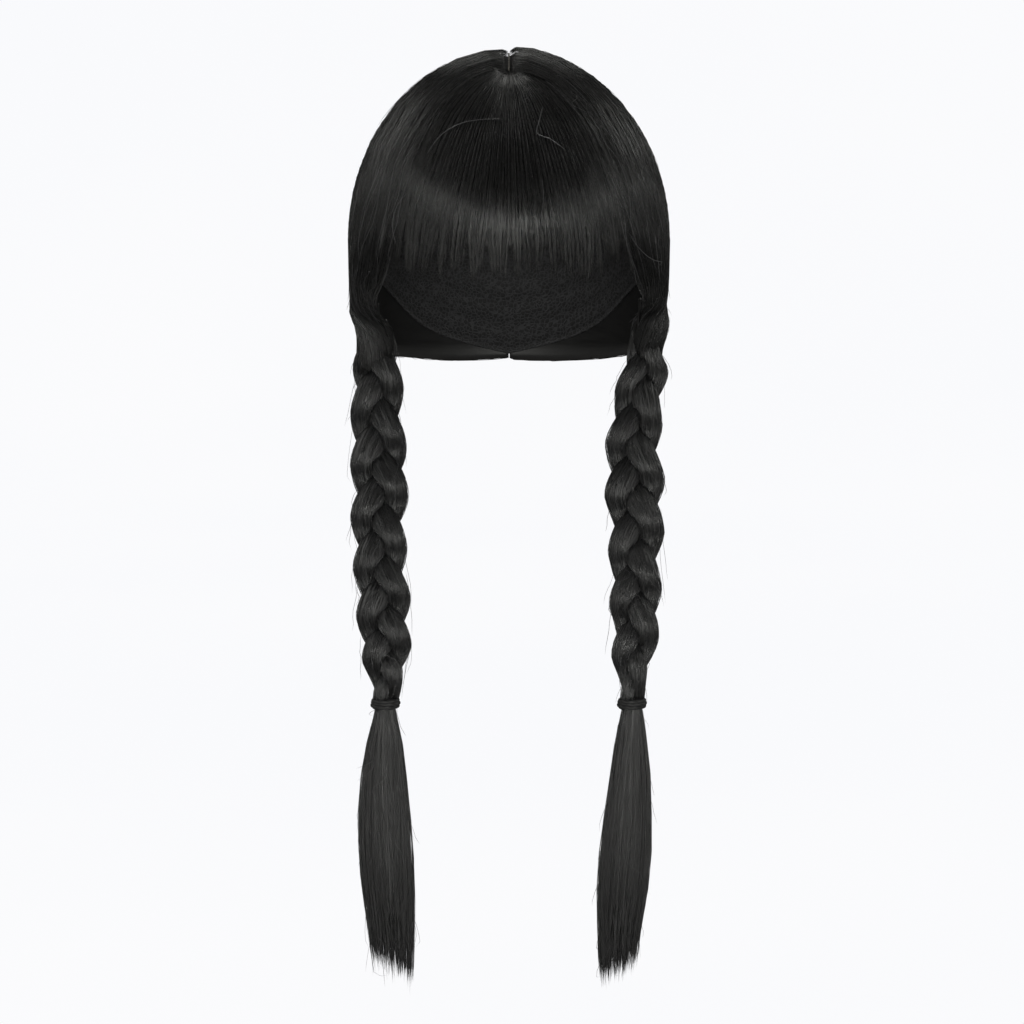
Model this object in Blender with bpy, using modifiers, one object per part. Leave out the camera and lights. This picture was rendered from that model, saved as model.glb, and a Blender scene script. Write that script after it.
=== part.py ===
"""Pigtail wig: a hollow net cap, combed crown hair parted in the middle, a full cut fringe,
and two braids of three locks, each closed by a wound elastic above a loose tail.

Metres, +Z up. The origin is the inside of the cap's crown, where the top of a head touches it.
The fringe faces -Y and the wearer's left is +X.
"""

import math

import bmesh
import bpy
import numpy as np

MM = 0.001

# The head that the cap fits: half sizes at its widest level, and that level below the crown
HEAD_SIDE = 75 * MM
HEAD_FRONT = 92 * MM
HEAD_BACK = 98 * MM
HEAD_CROWN = 90 * MM
# Growth of those half sizes below the widest level, down to the neck
LOWER_HEAD = {
    "drop": (0, 25, 50, 70, 90),
    "side": (0, -0.5, -2, -5, -10),
    "front": (0, 0, -2, -6, -12),
    "back": (0, -3, -12, -22, -32),
}

# Layers outward from the head
GAP = 0.3 * MM
CAP_WALL = 1.5 * MM
FACET_SAG = 0.9 * MM
HAIR_INSIDE = CAP_WALL + GAP + FACET_SAG
HAIR_OUTSIDE = 9 * MM
PART_LAYER = 4 * MM
PART_GROOVE = 11 * MM
SEAM = 0.35 * MM

# Rim of the cap from the forehead (0 degrees) round to the nape
CAP_RIM = {
    "angle": (0, 35, 60, 80, 95, 112, 140, 180),
    "height": (-58, -61, -78, -106, -111, -113, -138, -156),
}
CAP_COLUMNS = 32
CAP_ROWS = 8

# Guide locks of the crown hair on the wearer's left, from the fringe edge back to the nape.
# Each runs from the part line down to the braid: side, depth and height of its points.
GUIDE_LOCKS = {
    "fringe edge": ((1.5, -47, -1), (30, -52, -13), (55, -61, -45), (66, -63, -103), (77, -34, -123), (80, 2, -136)),
    "temple": ((1, -12, 8), (45, -28, -12), (67, -40, -45), (79, -36, -92), (82, -20, -118), (83, 8, -136)),
    "over the ear": ((1, 45, 0), (44, 40, -12), (72, 24, -50), (84, 12, -92), (84, 8, -120), (83, 14, -138)),
    "back": ((1, 100, -55), (36, 92, -64), (64, 72, -84), (80, 46, -112), (83, 28, -132), (82, 20, -142)),
    "nape": ((1, 97, -157), (24, 92, -158), (46, 80, -157), (65, 60, -154), (76, 40, -150), (80, 26, -146)),
}
HAIR_COLUMNS = 17
HAIR_ROWS = 17
ROW_CROWDING = 1.2
# The last share of the way, over which the hair gathers to a bunch, and how high above its foot
GATHER_FROM = 0.76
GATHER_RISE = 28 * MM
BUNCH_FROM = math.radians(11)

# Fringe
FRINGE_COLUMNS = 30
FRINGE_ROWS = 9
FRINGE_SEAM = 1.5 * MM
SEAM_MOST = 0.3
# The fringe ends at the third of the five steps of its edge lock
FRINGE_SHARE = 3 / 5
FRINGE_TOP = (0, -50, -6)
FRINGE_HEM = -104.5 * MM
HEM_LAYER = 5.2 * MM
RISE_UNTIL = 0.2
THIN_FROM = 0.45
# Uneven hem: short teeth on two slow waves, by which its end rows hang longer or shorter
HEM_FROM = 0.7
HEM_TOOTH = 2 * MM
HEM_WAVES = ((1.75 * MM, 11 * math.pi, 0), (1.25 * MM, 17, 1))
LOCK_RELIEF = 0.6 * MM

# Braids: the middle of each at several heights, its half width, and how its locks cross
BRAID_DEPTH = {
    "height": (-134, -154, -192, -232, -272, -308, -332, -345),
    "depth": (13, 11, 3, -13, -29, -39, -42, -42),
}
BRAIDS = {
    "right": {
        "sign": -1,
        "top": -138 * MM,
        "first notch": -139.3 * MM,
        "notch step": 29.6 * MM,
        "step loss": 0.506 * MM,
        "turn": math.radians(0),
        "height": (-136, -158, -175, -192, -216, -240, -256, -272, -288, -304, -320, -332),
        "side": (70, 70, 69.8, 69.6, 68.2, 68.2, 67.4, 66, 65, 64, 63.8, 64.2),
        "half width": (14, 14.2, 14.2, 14.8, 15.6, 14.8, 14.4, 14.6, 14.2, 13, 8.2, 6.3),
    },
    "left": {
        "sign": 1,
        "top": -134 * MM,
        "first notch": -114.8 * MM,
        "notch step": 28.6 * MM,
        "step loss": 0.13 * MM,
        "turn": math.radians(10),
        "height": (-132, -158, -175, -192, -216, -240, -256, -272, -288, -304, -320, -332),
        "side": (70.5, 70, 68.4, 66.6, 66.2, 66.6, 66, 65.8, 66, 64.6, 63.8, 63.8),
        "half width": (14, 13.8, 14, 14.6, 16, 15, 14, 13.8, 13.2, 11.4, 7.2, 6.3),
    },
}
LOCK_COUNT = 3
LOCK_SECTIONS = 64
LOCK_SIDES = 8
SWING_SHARE = 0.46
CROSS_SHARE = 0.33
LOCK_DEPTH_SHARE = 0.42
BUNCH_DEPTH_SHARE = CROSS_SHARE + LOCK_DEPTH_SHARE
LOCK_GAP = 1.1 * MM
FACING_LEAST = 0.001
OUTER_NOTCH = math.radians(150)

# Ties
TIE_HEIGHT = -329 * MM
TIE_WRAPS = 3
WRAP_PITCH = 2.1 * MM
WRAP_RADIUS = 1.0 * MM
WRAP_BEND = math.radians(60)
TIE_BORE = 5.7 * MM
TIE_STEPS = 14
NECK_RADIUS = TIE_BORE - GAP
BRAID_FOOT = TIE_HEIGHT + 3.6 * MM

# Tails, from the neck inside the tie to the uneven cut ends
TAILS = {
    "right": {
        "height": (-332.8, -337, -348, -362, -382, -405, -428, -448),
        "side": (64.1, 64.2, 64.5, 65, 65, 64.2, 63, 61.6),
        "half width": (5.4, 6.4, 8.8, 11, 12.9, 13.9, 13.1, 11.6),
    },
    "left": {
        "height": (-332.8, -337, -348, -362, -382, -405, -428, -448),
        "side": (63.9, 63.8, 63.4, 63.2, 62.2, 60.8, 59.2, 57.6),
        "half width": (5.4, 6.3, 8, 9.8, 11.6, 13.2, 12.9, 10.9),
    },
}
TAIL_SIDES = 20
TAIL_DEPTH_SHARE = 0.72
TAIL_RIDGE = 0.035
RIDGE_FULL = 4 * MM
TAIL_END = -466 * MM
TAIL_SLANT = 9 * MM
TAIL_POINT = 4 * MM
TAIL_END_SHARE = 0.62
TAIL_END_INWARD = 2.5 * MM
TAIL_HOLLOW = 8 * MM


def unit(vectors):
    """The vectors scaled to a length of one."""
    return vectors / np.linalg.norm(vectors, axis=-1, keepdims=True)


def smooth(value):
    """An ease from 0 to 1 that starts and ends level."""
    value = np.clip(value, 0, 1)
    return value * value * (3 - 2 * value)


def curve_through(points, share):
    """A smooth curve through evenly spaced points (first axis), read at shares from 0 to 1."""
    points = np.asarray(points, float)
    last = len(points) - 1
    place = np.clip(np.atleast_1d(share) * last, 0, last)
    start = np.minimum(place.astype(int), last - 1)
    step = (place - start).reshape((-1,) + (1,) * (points.ndim - 1))
    padded = np.concatenate([[2 * points[0] - points[1]], points, [2 * points[-1] - points[-2]]])
    before, here, there, after = (padded[start + i] for i in range(4))
    return here + 0.5 * step * (
        there - before + step * (2 * before - 5 * here + 4 * there - after
                                 + step * (3 * (here - there) + after - before))
    )


def table(columns, name, value, by="height"):
    """A column of a table of millimetres, read smoothly at a value of its first column."""
    keys = np.array(columns[by], float)
    order = np.argsort(keys)
    keys = keys[order]
    entries = np.array(columns[name], float)[order]
    slopes = np.gradient(entries, keys)
    value = np.clip(np.asarray(value, float), keys[0], keys[-1])
    i = np.clip(np.searchsorted(keys, value, side="right") - 1, 0, len(keys) - 2)
    width = keys[i + 1] - keys[i]
    share = (value - keys[i]) / width
    rise = smooth(share)
    bend = share * (1 - share) * width
    return entries[i] + (entries[i + 1] - entries[i]) * rise + bend * (
        slopes[i] * (1 - share) - slopes[i + 1] * share
    )


def head_sizes(height, layer, behind):
    """Half width and half depth of a layer over the head, at a height below the widest level."""
    drop = np.clip(-(height + HEAD_CROWN), 0, None) / MM
    side = HEAD_SIDE + layer + table(LOWER_HEAD, "side", drop, "drop") * MM
    front = HEAD_FRONT + table(LOWER_HEAD, "front", drop, "drop") * MM
    back = HEAD_BACK + table(LOWER_HEAD, "back", drop, "drop") * MM
    return side, np.where(behind, back, front) + layer


def on_layer(directions, layer):
    """Points of a layer over the head in the given directions from the middle of its widest level."""
    directions = unit(np.asarray(directions, float))
    level = np.hypot(directions[..., 0], directions[..., 1])
    upper = directions[..., 2] >= 0
    crown = HEAD_CROWN + layer
    height = -HEAD_CROWN + crown * np.where(upper, directions[..., 2], np.arcsin(directions[..., 2]))
    side, depth = head_sizes(height, layer, directions[..., 1] > 0)
    reach = np.where(upper, 1, 1 / np.maximum(level, 1e-9))
    return np.stack(
        [side * directions[..., 0] * reach, depth * directions[..., 1] * reach, height], axis=-1
    )


def direction_of(point):
    """The direction in which on_layer finds a point of the hair's outside, given in millimetres."""
    side, depth, height = (float(v) * MM for v in point)
    half_side, half_depth = head_sizes(height, HAIR_OUTSIDE, depth > 0)
    flat = np.array([side / half_side, depth / half_depth])
    rise = (height + HEAD_CROWN) / (HEAD_CROWN + HAIR_OUTSIDE)
    if rise >= 0:
        return unit(np.array([*flat, rise]))
    return np.array([*(unit(flat) * math.cos(rise)), math.sin(rise)])


def new_mesh_object(name, bm, collection, material):
    """A smooth-shaded object of a finished bmesh, in the wig's collection."""
    bmesh.ops.recalc_face_normals(bm, faces=bm.faces)
    mesh = bpy.data.meshes.new(name)
    bm.to_mesh(mesh)
    bm.free()
    mesh.shade_smooth()
    mesh.set_sharp_from_angle(angle=math.radians(50))
    mesh.materials.append(material)
    made = bpy.data.objects.new(name, mesh)
    collection.objects.link(made)
    return made


def strip(bm, first, second, closed):
    """Quads between two equal rows of vertices."""
    count = len(first)
    for i in range(count if closed else count - 1):
        j = (i + 1) % count
        bm.faces.new((first[i], first[j], second[j], second[i]))


def sheet_between(name, outside, inside, collection, material):
    """A closed shell between two grids of points with the same rows and columns."""
    bm = bmesh.new()
    outer = [[bm.verts.new(point) for point in row] for row in outside]
    inner = [[bm.verts.new(point) for point in row] for row in inside]
    for grid in (outer, inner):
        for row, following in zip(grid, grid[1:]):
            strip(bm, row, following, closed=False)
    strip(bm, outer[0], inner[0], closed=False)
    strip(bm, outer[-1], inner[-1], closed=False)
    for edge in (0, -1):
        strip(bm, [row[edge] for row in outer], [row[edge] for row in inner], closed=False)
    bmesh.ops.triangulate(bm, faces=bm.faces, quad_method="SHORT_EDGE")
    return new_mesh_object(name, bm, collection, material)


def loft(name, rings, collection, material, foot=None):
    """A closed solid through rings of points. The last ring may close on a foot point."""
    bm = bmesh.new()
    rows = [[bm.verts.new(point) for point in ring] for ring in rings]
    for row, following in zip(rows, rows[1:]):
        strip(bm, row, following, closed=True)
    bm.faces.new(rows[0])
    if foot is None:
        bm.faces.new(rows[-1])
    else:
        middle = bm.verts.new(foot)
        last = rows[-1]
        for i, corner in enumerate(last):
            bm.faces.new((corner, last[(i + 1) % len(last)], middle))
    bmesh.ops.triangulate(bm, faces=bm.faces)
    return new_mesh_object(name, bm, collection, material)


def fibre_material(name, colour, roughness):
    """A plain glossy fibre finish."""
    material = bpy.data.materials.new(name)
    material.use_nodes = True
    shader = material.node_tree.nodes["Principled BSDF"]
    shader.inputs["Base Color"].default_value = (*colour, 1)
    shader.inputs["Roughness"].default_value = roughness
    shader.inputs["Metallic"].default_value = 0
    return material


def rim_direction(angle):
    """The direction of the cap's rim at an angle round from the forehead, either way."""
    turn = math.degrees(abs(math.remainder(angle, math.tau)))
    height = float(table(CAP_RIM, "height", turn, "angle")) * MM
    level = np.array([math.sin(angle), -math.cos(angle)])
    rise = (height + HEAD_CROWN) / HEAD_CROWN
    if rise >= 0:
        return np.array([*(level * math.sqrt(1 - rise * rise)), rise])
    return np.array([*(level * math.cos(rise)), math.sin(rise)])


def cap(collection, material):
    """An open dome from the crown to the rim, thickened outwards from the head."""
    bm = bmesh.new()
    rows = []
    for row in range(1, CAP_ROWS + 1):
        ring = []
        for column in range(CAP_COLUMNS):
            rim = rim_direction(math.tau * column / CAP_COLUMNS)
            fall = math.acos(rim[2]) * row / CAP_ROWS
            level = unit(rim[:2]) * math.sin(fall)
            ring.append(bm.verts.new(on_layer(np.array([*level, math.cos(fall)]), 0)))
        rows.append(ring)
    crown = bm.verts.new((0, 0, 0))
    for column in range(CAP_COLUMNS):
        bm.faces.new((crown, rows[0][column], rows[0][(column + 1) % CAP_COLUMNS]))
    for row, following in zip(rows, rows[1:]):
        strip(bm, row, following, closed=True)
    made = new_mesh_object("cap", bm, collection, material)
    wall = made.modifiers.new("wall", "SOLIDIFY")
    wall.thickness = CAP_WALL
    wall.offset = 1
    wall.use_even_offset = True
    return made


def hair_directions(across, along):
    """Directions of the crown hair on the wearer's left, as rows along it and columns across it."""
    guides = np.array([[direction_of(point) for point in lock] for lock in GUIDE_LOCKS.values()])
    along_guides = curve_through(guides.transpose(1, 0, 2), along)
    return unit(curve_through(along_guides.transpose(1, 0, 2), across).transpose(1, 0, 2))


def braid_middle(braid, height):
    """Side and depth of the middle of a braid at a height."""
    side = braid["sign"] * table(braid, "side", height / MM) * MM
    return side, table(BRAID_DEPTH, "depth", height / MM) * MM


def crown_hair(side_name, collection, material):
    """Half of the combed hair: a shell over the cap that gathers to a bunch above the braid."""
    braid = BRAIDS[side_name]
    sign = braid["sign"]
    across = np.linspace(0, 1, HAIR_COLUMNS)
    along = np.linspace(0, 1, HAIR_ROWS) ** ROW_CROWDING
    directions = hair_directions(across, along)
    from_part = np.abs(on_layer(directions, HAIR_OUTSIDE)[..., 0])
    groove = smooth(from_part / PART_GROOVE)
    outside = on_layer(directions, PART_LAYER + (HAIR_OUTSIDE - PART_LAYER) * groove)
    inside = on_layer(directions, np.full(directions.shape[:2], HAIR_INSIDE))

    foot = braid["top"] + GAP
    middle_side, middle_depth = braid_middle(braid, braid["top"])
    half_width = table(braid, "half width", braid["top"] / MM) * MM
    around = BUNCH_FROM + (math.pi - 2 * BUNCH_FROM) * across
    arc_side = half_width * np.sin(around)
    arc_depth = middle_depth - half_width * BUNCH_DEPTH_SHARE * np.cos(around)
    gathered = smooth((along - GATHER_FROM) / (1 - GATHER_FROM))[:, None, None]
    rise = GATHER_RISE * (1 - along) / (1 - GATHER_FROM)
    for grid, facing in ((outside, 1), (inside, -1)):
        bunch = np.empty_like(grid)
        bunch[..., 0] = abs(middle_side) + facing * arc_side
        bunch[..., 1] = arc_depth
        bunch[..., 2] = (foot + rise)[:, None]
        grid[:] = grid * (1 - gathered) + bunch * gathered
        grid[..., 0] = np.maximum(grid[..., 0], SEAM) * sign
    return sheet_between(f"crown_hair_{side_name}", outside, inside, collection, material)


def fringe(collection, material):
    """The fringe: a sheet of fused locks from the front of the part to an uneven hem."""
    across = np.linspace(-1, 1, FRINGE_COLUMNS + 1)
    along = np.linspace(0, 1, FRINGE_ROWS)
    edge = hair_directions(np.array([0.0]), along * FRINGE_SHARE)[:, 0]
    top = direction_of(FRINGE_TOP)
    hem = direction_of((0, -HEAD_FRONT / MM, FRINGE_HEM / MM))
    top_angle = math.atan2(top[2], -top[1])
    angles = (top_angle + along * (math.asin(hem[2]) - top_angle))[:, None]
    narrowing = np.minimum(FRINGE_SEAM / (edge[:, :1] * HEAD_SIDE), SEAM_MOST)
    place = across[None, :] * (1 - narrowing)
    spread = place ** 2
    directions = np.stack(
        [
            place * edge[:, :1],
            -np.cos(angles) * (1 - spread) + edge[:, 1:2] * spread,
            np.sin(angles) * (1 - spread) + edge[:, 2:] * spread,
        ],
        axis=-1,
    )
    ridge = np.cos(across * math.pi * FRINGE_COLUMNS / 2)
    thin = smooth((along - THIN_FROM) / (1 - THIN_FROM))[:, None]
    start = smooth(along / RISE_UNTIL)[:, None]
    layer = (PART_LAYER + (HAIR_OUTSIDE - PART_LAYER) * start) * (1 - thin) + HEM_LAYER * thin
    outside = on_layer(directions, layer + LOCK_RELIEF * ridge[None, :] * along[:, None])
    inside = on_layer(directions, np.full(directions.shape[:2], HAIR_INSIDE))
    hang = HEM_TOOTH * ridge
    for reach, waves, shift in HEM_WAVES:
        hang = hang + reach * np.sin(across * waves + shift)
    loose = smooth((along - HEM_FROM) / (1 - HEM_FROM))[:, None]
    for grid in (outside, inside):
        grid[..., 2] -= hang[None, :] * loose
    return sheet_between("fringe", outside, inside, collection, material)


def lock_middles(braid, heights):
    """Middles of the three locks at each height, as they cross over one another."""
    fall = braid["first notch"] - heights
    step = braid["notch step"]
    loss = braid["step loss"]
    notches = (step - np.sqrt(step * step - 4 * loss * fall)) / (2 * loss)
    turn = OUTER_NOTCH + math.tau / LOCK_COUNT * notches
    half_width = table(braid, "half width", heights / MM) * MM
    middle_side, middle_depth = braid_middle(braid, heights)
    middles = []
    for lock in range(LOCK_COUNT):
        phase = turn + math.tau * lock / LOCK_COUNT
        swing = half_width * SWING_SHARE * np.sin(phase)
        cross = -half_width * CROSS_SHARE * np.sin(2 * phase)
        side = swing * math.cos(braid["turn"]) + cross * math.sin(braid["turn"])
        depth = cross * math.cos(braid["turn"]) - swing * math.sin(braid["turn"])
        middles.append(np.stack([middle_side + side * braid["sign"], middle_depth + depth], axis=-1))
    return np.array(middles), half_width


def lock_rings(braid, lock, heights, sides):
    """Level sections of one lock: an oval, cut back halfway to each of the other two."""
    middles, half_width = lock_middles(braid, heights)
    own = middles[lock]
    around = np.arange(sides) * math.tau / sides
    half_side = half_width[:, None] * (1 - SWING_SHARE)
    half_depth = half_width[:, None] * LOCK_DEPTH_SHARE
    reach = 1 / np.sqrt((np.cos(around) / half_side) ** 2 + (np.sin(around) / half_depth) ** 2)
    for other in range(LOCK_COUNT):
        if other == lock:
            continue
        apart = middles[other] - own
        room = (np.linalg.norm(apart, axis=1) - LOCK_GAP) / 2
        facing = unit(apart)
        towards = facing[:, :1] * np.cos(around) + facing[:, 1:] * np.sin(around)
        limit = room[:, None] / np.maximum(towards, FACING_LEAST)
        reach = np.where(towards > FACING_LEAST, np.minimum(reach, limit), reach)
    side = own[:, :1] + reach * np.cos(around)
    depth = own[:, 1:] + reach * np.sin(around)
    return np.stack([side, depth, np.repeat(heights[:, None], sides, axis=1)], axis=-1)


def braid_locks(side_name, collection, material):
    """The three locks of one braid, from the bunch to the tie."""
    braid = BRAIDS[side_name]
    heights = np.linspace(braid["top"], BRAID_FOOT, LOCK_SECTIONS)
    for lock in range(LOCK_COUNT):
        rings = lock_rings(braid, lock, heights, LOCK_SIDES)
        loft(f"braid_{side_name}_lock_{lock + 1}", rings, collection, material)


def tie(side_name, collection, material):
    """An elastic wound in touching turns: a ridged profile turned about the braid's foot."""
    profile = []
    top = (TIE_WRAPS - 1) / 2 * WRAP_PITCH
    for wrap in range(TIE_WRAPS):
        for bend in (-WRAP_BEND, 0, WRAP_BEND):
            radius = TIE_BORE + WRAP_RADIUS * (1 + math.cos(bend))
            profile.append((radius, top - wrap * WRAP_PITCH - WRAP_RADIUS * math.sin(bend)))
    profile.append((TIE_BORE, profile[-1][1]))
    profile.append((TIE_BORE, profile[0][1]))
    mesh = bpy.data.meshes.new(f"tie_{side_name}")
    edges = [(i, (i + 1) % len(profile)) for i in range(len(profile))]
    mesh.from_pydata([(radius, 0, height) for radius, height in profile], edges, [])
    mesh.materials.append(material)
    made = bpy.data.objects.new(f"tie_{side_name}", mesh)
    collection.objects.link(made)
    made.location = (*braid_middle(BRAIDS[side_name], TIE_HEIGHT), TIE_HEIGHT)
    turned = made.modifiers.new("turned", "SCREW")
    turned.steps = TIE_STEPS
    turned.render_steps = TIE_STEPS
    turned.use_merge_vertices = True
    turned.merge_threshold = 0.00001
    return made


def tail(side_name, collection, material):
    """The loose end: a neck inside the tie, a swelling sheaf of locks, and pointed uneven ends."""
    columns = TAILS[side_name]
    sign = BRAIDS[side_name]["sign"]
    around = np.arange(TAIL_SIDES) * math.tau / TAIL_SIDES
    ridges = np.where(np.arange(TAIL_SIDES) % 2 == 0, 1.0, -1.0)
    neck_side, depth = braid_middle(BRAIDS[side_name], TIE_HEIGHT)

    def ring(side, half_width, depth_share, heights):
        swell = np.clip((half_width - NECK_RADIUS) / RIDGE_FULL, 0, 1)
        reach = half_width * (1 + TAIL_RIDGE * ridges * swell)
        return np.column_stack([
            side + reach * np.cos(around),
            depth + reach * depth_share * np.sin(around),
            np.broadcast_to(heights, TAIL_SIDES),
        ])

    rings = [ring(neck_side, NECK_RADIUS, 1, height) for height in (BRAID_FOOT - GAP, TIE_HEIGHT)]
    for height, middle, half_width in zip(columns["height"], columns["side"], columns["half width"]):
        flat = smooth((half_width * MM - NECK_RADIUS) / RIDGE_FULL)
        share = 1 + (TAIL_DEPTH_SHARE - 1) * flat
        rings.append(ring(sign * middle * MM, half_width * MM, share, height * MM))
    end_side = sign * (columns["side"][-1] * MM - TAIL_END_INWARD)
    slant = TAIL_SLANT * sign * np.cos(around)
    ends = TAIL_END + slant - TAIL_POINT * (ridges + 0.5 * np.sin(around * 5 + sign))
    end_width = columns["half width"][-1] * MM * TAIL_END_SHARE
    rings.append(ring(end_side, end_width, TAIL_DEPTH_SHARE, ends))
    foot = (end_side, depth, TAIL_END + TAIL_HOLLOW)
    return loft(f"tail_{side_name}", rings, collection, material, foot)


def main():
    for thing in list(bpy.data.objects):
        bpy.data.objects.remove(thing, do_unlink=True)
    collection = bpy.data.collections.new("Pigtail wig")
    bpy.context.scene.collection.children.link(collection)
    black_hair = fibre_material("Black synthetic hair", (0.009, 0.009, 0.010), 0.35)
    black_net = fibre_material("Black cap net", (0.012, 0.012, 0.013), 0.85)
    black_elastic = fibre_material("Black covered elastic", (0.014, 0.014, 0.015), 0.6)
    cap(collection, black_net)
    fringe(collection, black_hair)
    for side_name in BRAIDS:
        crown_hair(side_name, collection, black_hair)
        braid_locks(side_name, collection, black_hair)
        tie(side_name, collection, black_elastic)
        tail(side_name, collection, black_hair)


main()
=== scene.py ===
"""Looks of the pigtail wig: combed strands over the crown, a cut fringe, two braids and their tails.

Laid out as a Blender add-on and run as a script. Metres, +Z up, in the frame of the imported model:
the origin is the inside of the cap's crown, the fringe faces -Y and the wearer's left is +X.
"""

import math

import bpy
import numpy as np
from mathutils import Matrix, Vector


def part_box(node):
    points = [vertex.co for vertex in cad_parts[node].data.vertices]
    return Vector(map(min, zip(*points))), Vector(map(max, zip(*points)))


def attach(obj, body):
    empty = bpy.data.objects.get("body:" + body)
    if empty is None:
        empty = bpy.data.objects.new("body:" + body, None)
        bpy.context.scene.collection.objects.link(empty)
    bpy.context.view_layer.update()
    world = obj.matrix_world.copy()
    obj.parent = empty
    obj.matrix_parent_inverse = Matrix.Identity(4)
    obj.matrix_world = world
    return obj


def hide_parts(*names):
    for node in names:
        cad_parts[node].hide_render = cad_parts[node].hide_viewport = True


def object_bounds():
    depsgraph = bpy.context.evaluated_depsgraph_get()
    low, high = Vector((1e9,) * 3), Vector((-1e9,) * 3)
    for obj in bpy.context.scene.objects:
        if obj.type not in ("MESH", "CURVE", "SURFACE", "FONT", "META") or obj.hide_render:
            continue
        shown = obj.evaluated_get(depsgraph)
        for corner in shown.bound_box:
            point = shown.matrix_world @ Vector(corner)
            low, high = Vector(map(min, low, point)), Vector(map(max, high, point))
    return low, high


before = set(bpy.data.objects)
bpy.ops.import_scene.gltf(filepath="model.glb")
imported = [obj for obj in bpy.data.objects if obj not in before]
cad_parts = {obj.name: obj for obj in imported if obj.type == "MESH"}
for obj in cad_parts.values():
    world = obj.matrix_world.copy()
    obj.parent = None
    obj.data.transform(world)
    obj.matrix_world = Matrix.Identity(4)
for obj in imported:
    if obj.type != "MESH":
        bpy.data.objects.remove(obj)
cad_low, cad_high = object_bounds()

bl_info = {
    "name": "Pigtail wig",
    "version": (1, 0, 0),
    "blender": (4, 5, 0),
    "location": "3D View > Sidebar > Wig",
    "description": "Combs, braids and ties the strands of a wig over its plain solids",
    "category": "Add Mesh",
}

MM = 0.001
SIDES = {"right": -1, "left": 1}
# First numbers of the random draws, which keep every strand where it is from run to run
SEEDS = {"crown": 11, "fringe": 12, "braids": 40, "tails": 90, "strays": 3}

# The hollow of the cap: half sizes at its widest level, and that level below the crown
HOLLOW_SIDE = 75 * MM
HOLLOW_FRONT = 92 * MM
HOLLOW_BACK = 98 * MM
HOLLOW_CROWN = 90 * MM
# Growth of those half sizes below the widest level, down to the nape, in millimetres
LOWER_HOLLOW = {
    "drop": (0, 25, 50, 70, 90),
    "side": (0, -0.5, -2, -5, -10),
    "front": (0, 0, -2, -6, -12),
    "back": (0, -3, -12, -22, -32),
}

# Layers outward from the hollow
CAP_WALL = 1.5 * MM
WEFT_RIDGE = 0.9 * MM
HAIR_INSIDE = 2.7 * MM
HAIR_OUTSIDE = 9 * MM
PART_HALF_WIDTH = 0.25 * MM
# The notch where both halves of the hair bend down to the part line
NOTCH_DEPTH = 1.8 * MM
NOTCH_WIDTH = 4.5 * MM
PART_CLOSING = 1.2 * MM
PART_STRIP_WIDTH = 0.9 * MM
# The hair stands a little higher on one side of the part than on the other
PUFF = {"right": -0.4 * MM, "left": 1.2 * MM}
PUFF_WIDTH = 45 * MM
# How deep strands start in the hair in millimetres: at the part, and on the way
PART_DIP = 0.4
START_DIP = 1.7
# How far the dense hair underneath lies below the combed surface, and its mark for the finish
UNDER = 1.3 * MM
UNDER_MARK = -1

# Rim of the cap from the forehead (0 degrees) round to the nape, in degrees and millimetres
CAP_RIM = {
    "angle": (0, 35, 60, 80, 95, 112, 140, 180),
    "height": (-58, -61, -78, -106, -111, -113, -138, -156),
}

# Guide locks on the wearer's left, from the fringe edge back to the nape, in millimetres.
# Each runs from the part line down to the braid: side, depth and height of its points.
GUIDE_LOCKS = {
    "fringe edge": (
        (1.5, -47, -1), (27, -53, -12), (48, -65, -45), (67, -61, -103), (77, -34, -123), (80, 2, -136)
    ),
    "temple": (
        (1, -12, 8), (45, -28, -12), (67, -40, -45), (79, -36, -92), (82, -20, -118), (83, 8, -136)
    ),
    "over the ear": (
        (1, 45, 0), (44, 40, -12), (72, 24, -50), (84, 12, -92), (84, 8, -120), (83, 14, -138)
    ),
    "back": (
        (1, 100, -55), (36, 92, -64), (64, 72, -84), (80, 46, -112), (83, 28, -132), (82, 20, -142)
    ),
    "nape": (
        (1, 97, -157), (24, 92, -158), (46, 80, -157), (65, 60, -154), (76, 40, -150), (80, 26, -146)
    ),
}
# From this share of its way on, the hair gathers to a sleeve round the top of the braid. Hair in
# front of the ear starts to gather earlier, and the sleeve ends over the braid's first locks.
GATHER_FRONT = 0.5
GATHER_FROM = 0.76
GATHER_RISE = 28 * MM
SLEEVE_FROM = math.radians(-50)
SLEEVE_TO = math.radians(230)
SLEEVE_END = 16 * MM
SLEEVE_LAST = 1.1
SLEEVE_LEAN = 0.45
SLEEVE_TWIST = math.radians(-40)
SLEEVE_SLANT = 0.55
SLEEVE_OUT = 0.8 * MM
SLEEVE_TUCK = 3 * MM
SLEEVE_WALL = 5 * MM
# Where the crown hair starts across: a little past its front edge, over the fringe, and lower there
ACROSS_FIRST = -0.07
OVER_FRINGE_DROP = 2.2 * MM
CROWN_CLUMPS = 60

# Waves that each strand wanders sideways in on its way
WANDER_WAVES = (0.7, 1.9)

# Fringe, which ends at the third of the five steps of its edge lock
FRINGE_SHARE = 3 / 5
FRINGE_TOP = (0, -48, -4)
FRINGE_HEM = -104.5 * MM
HEM_LAYER = 4.2 * MM

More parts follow.
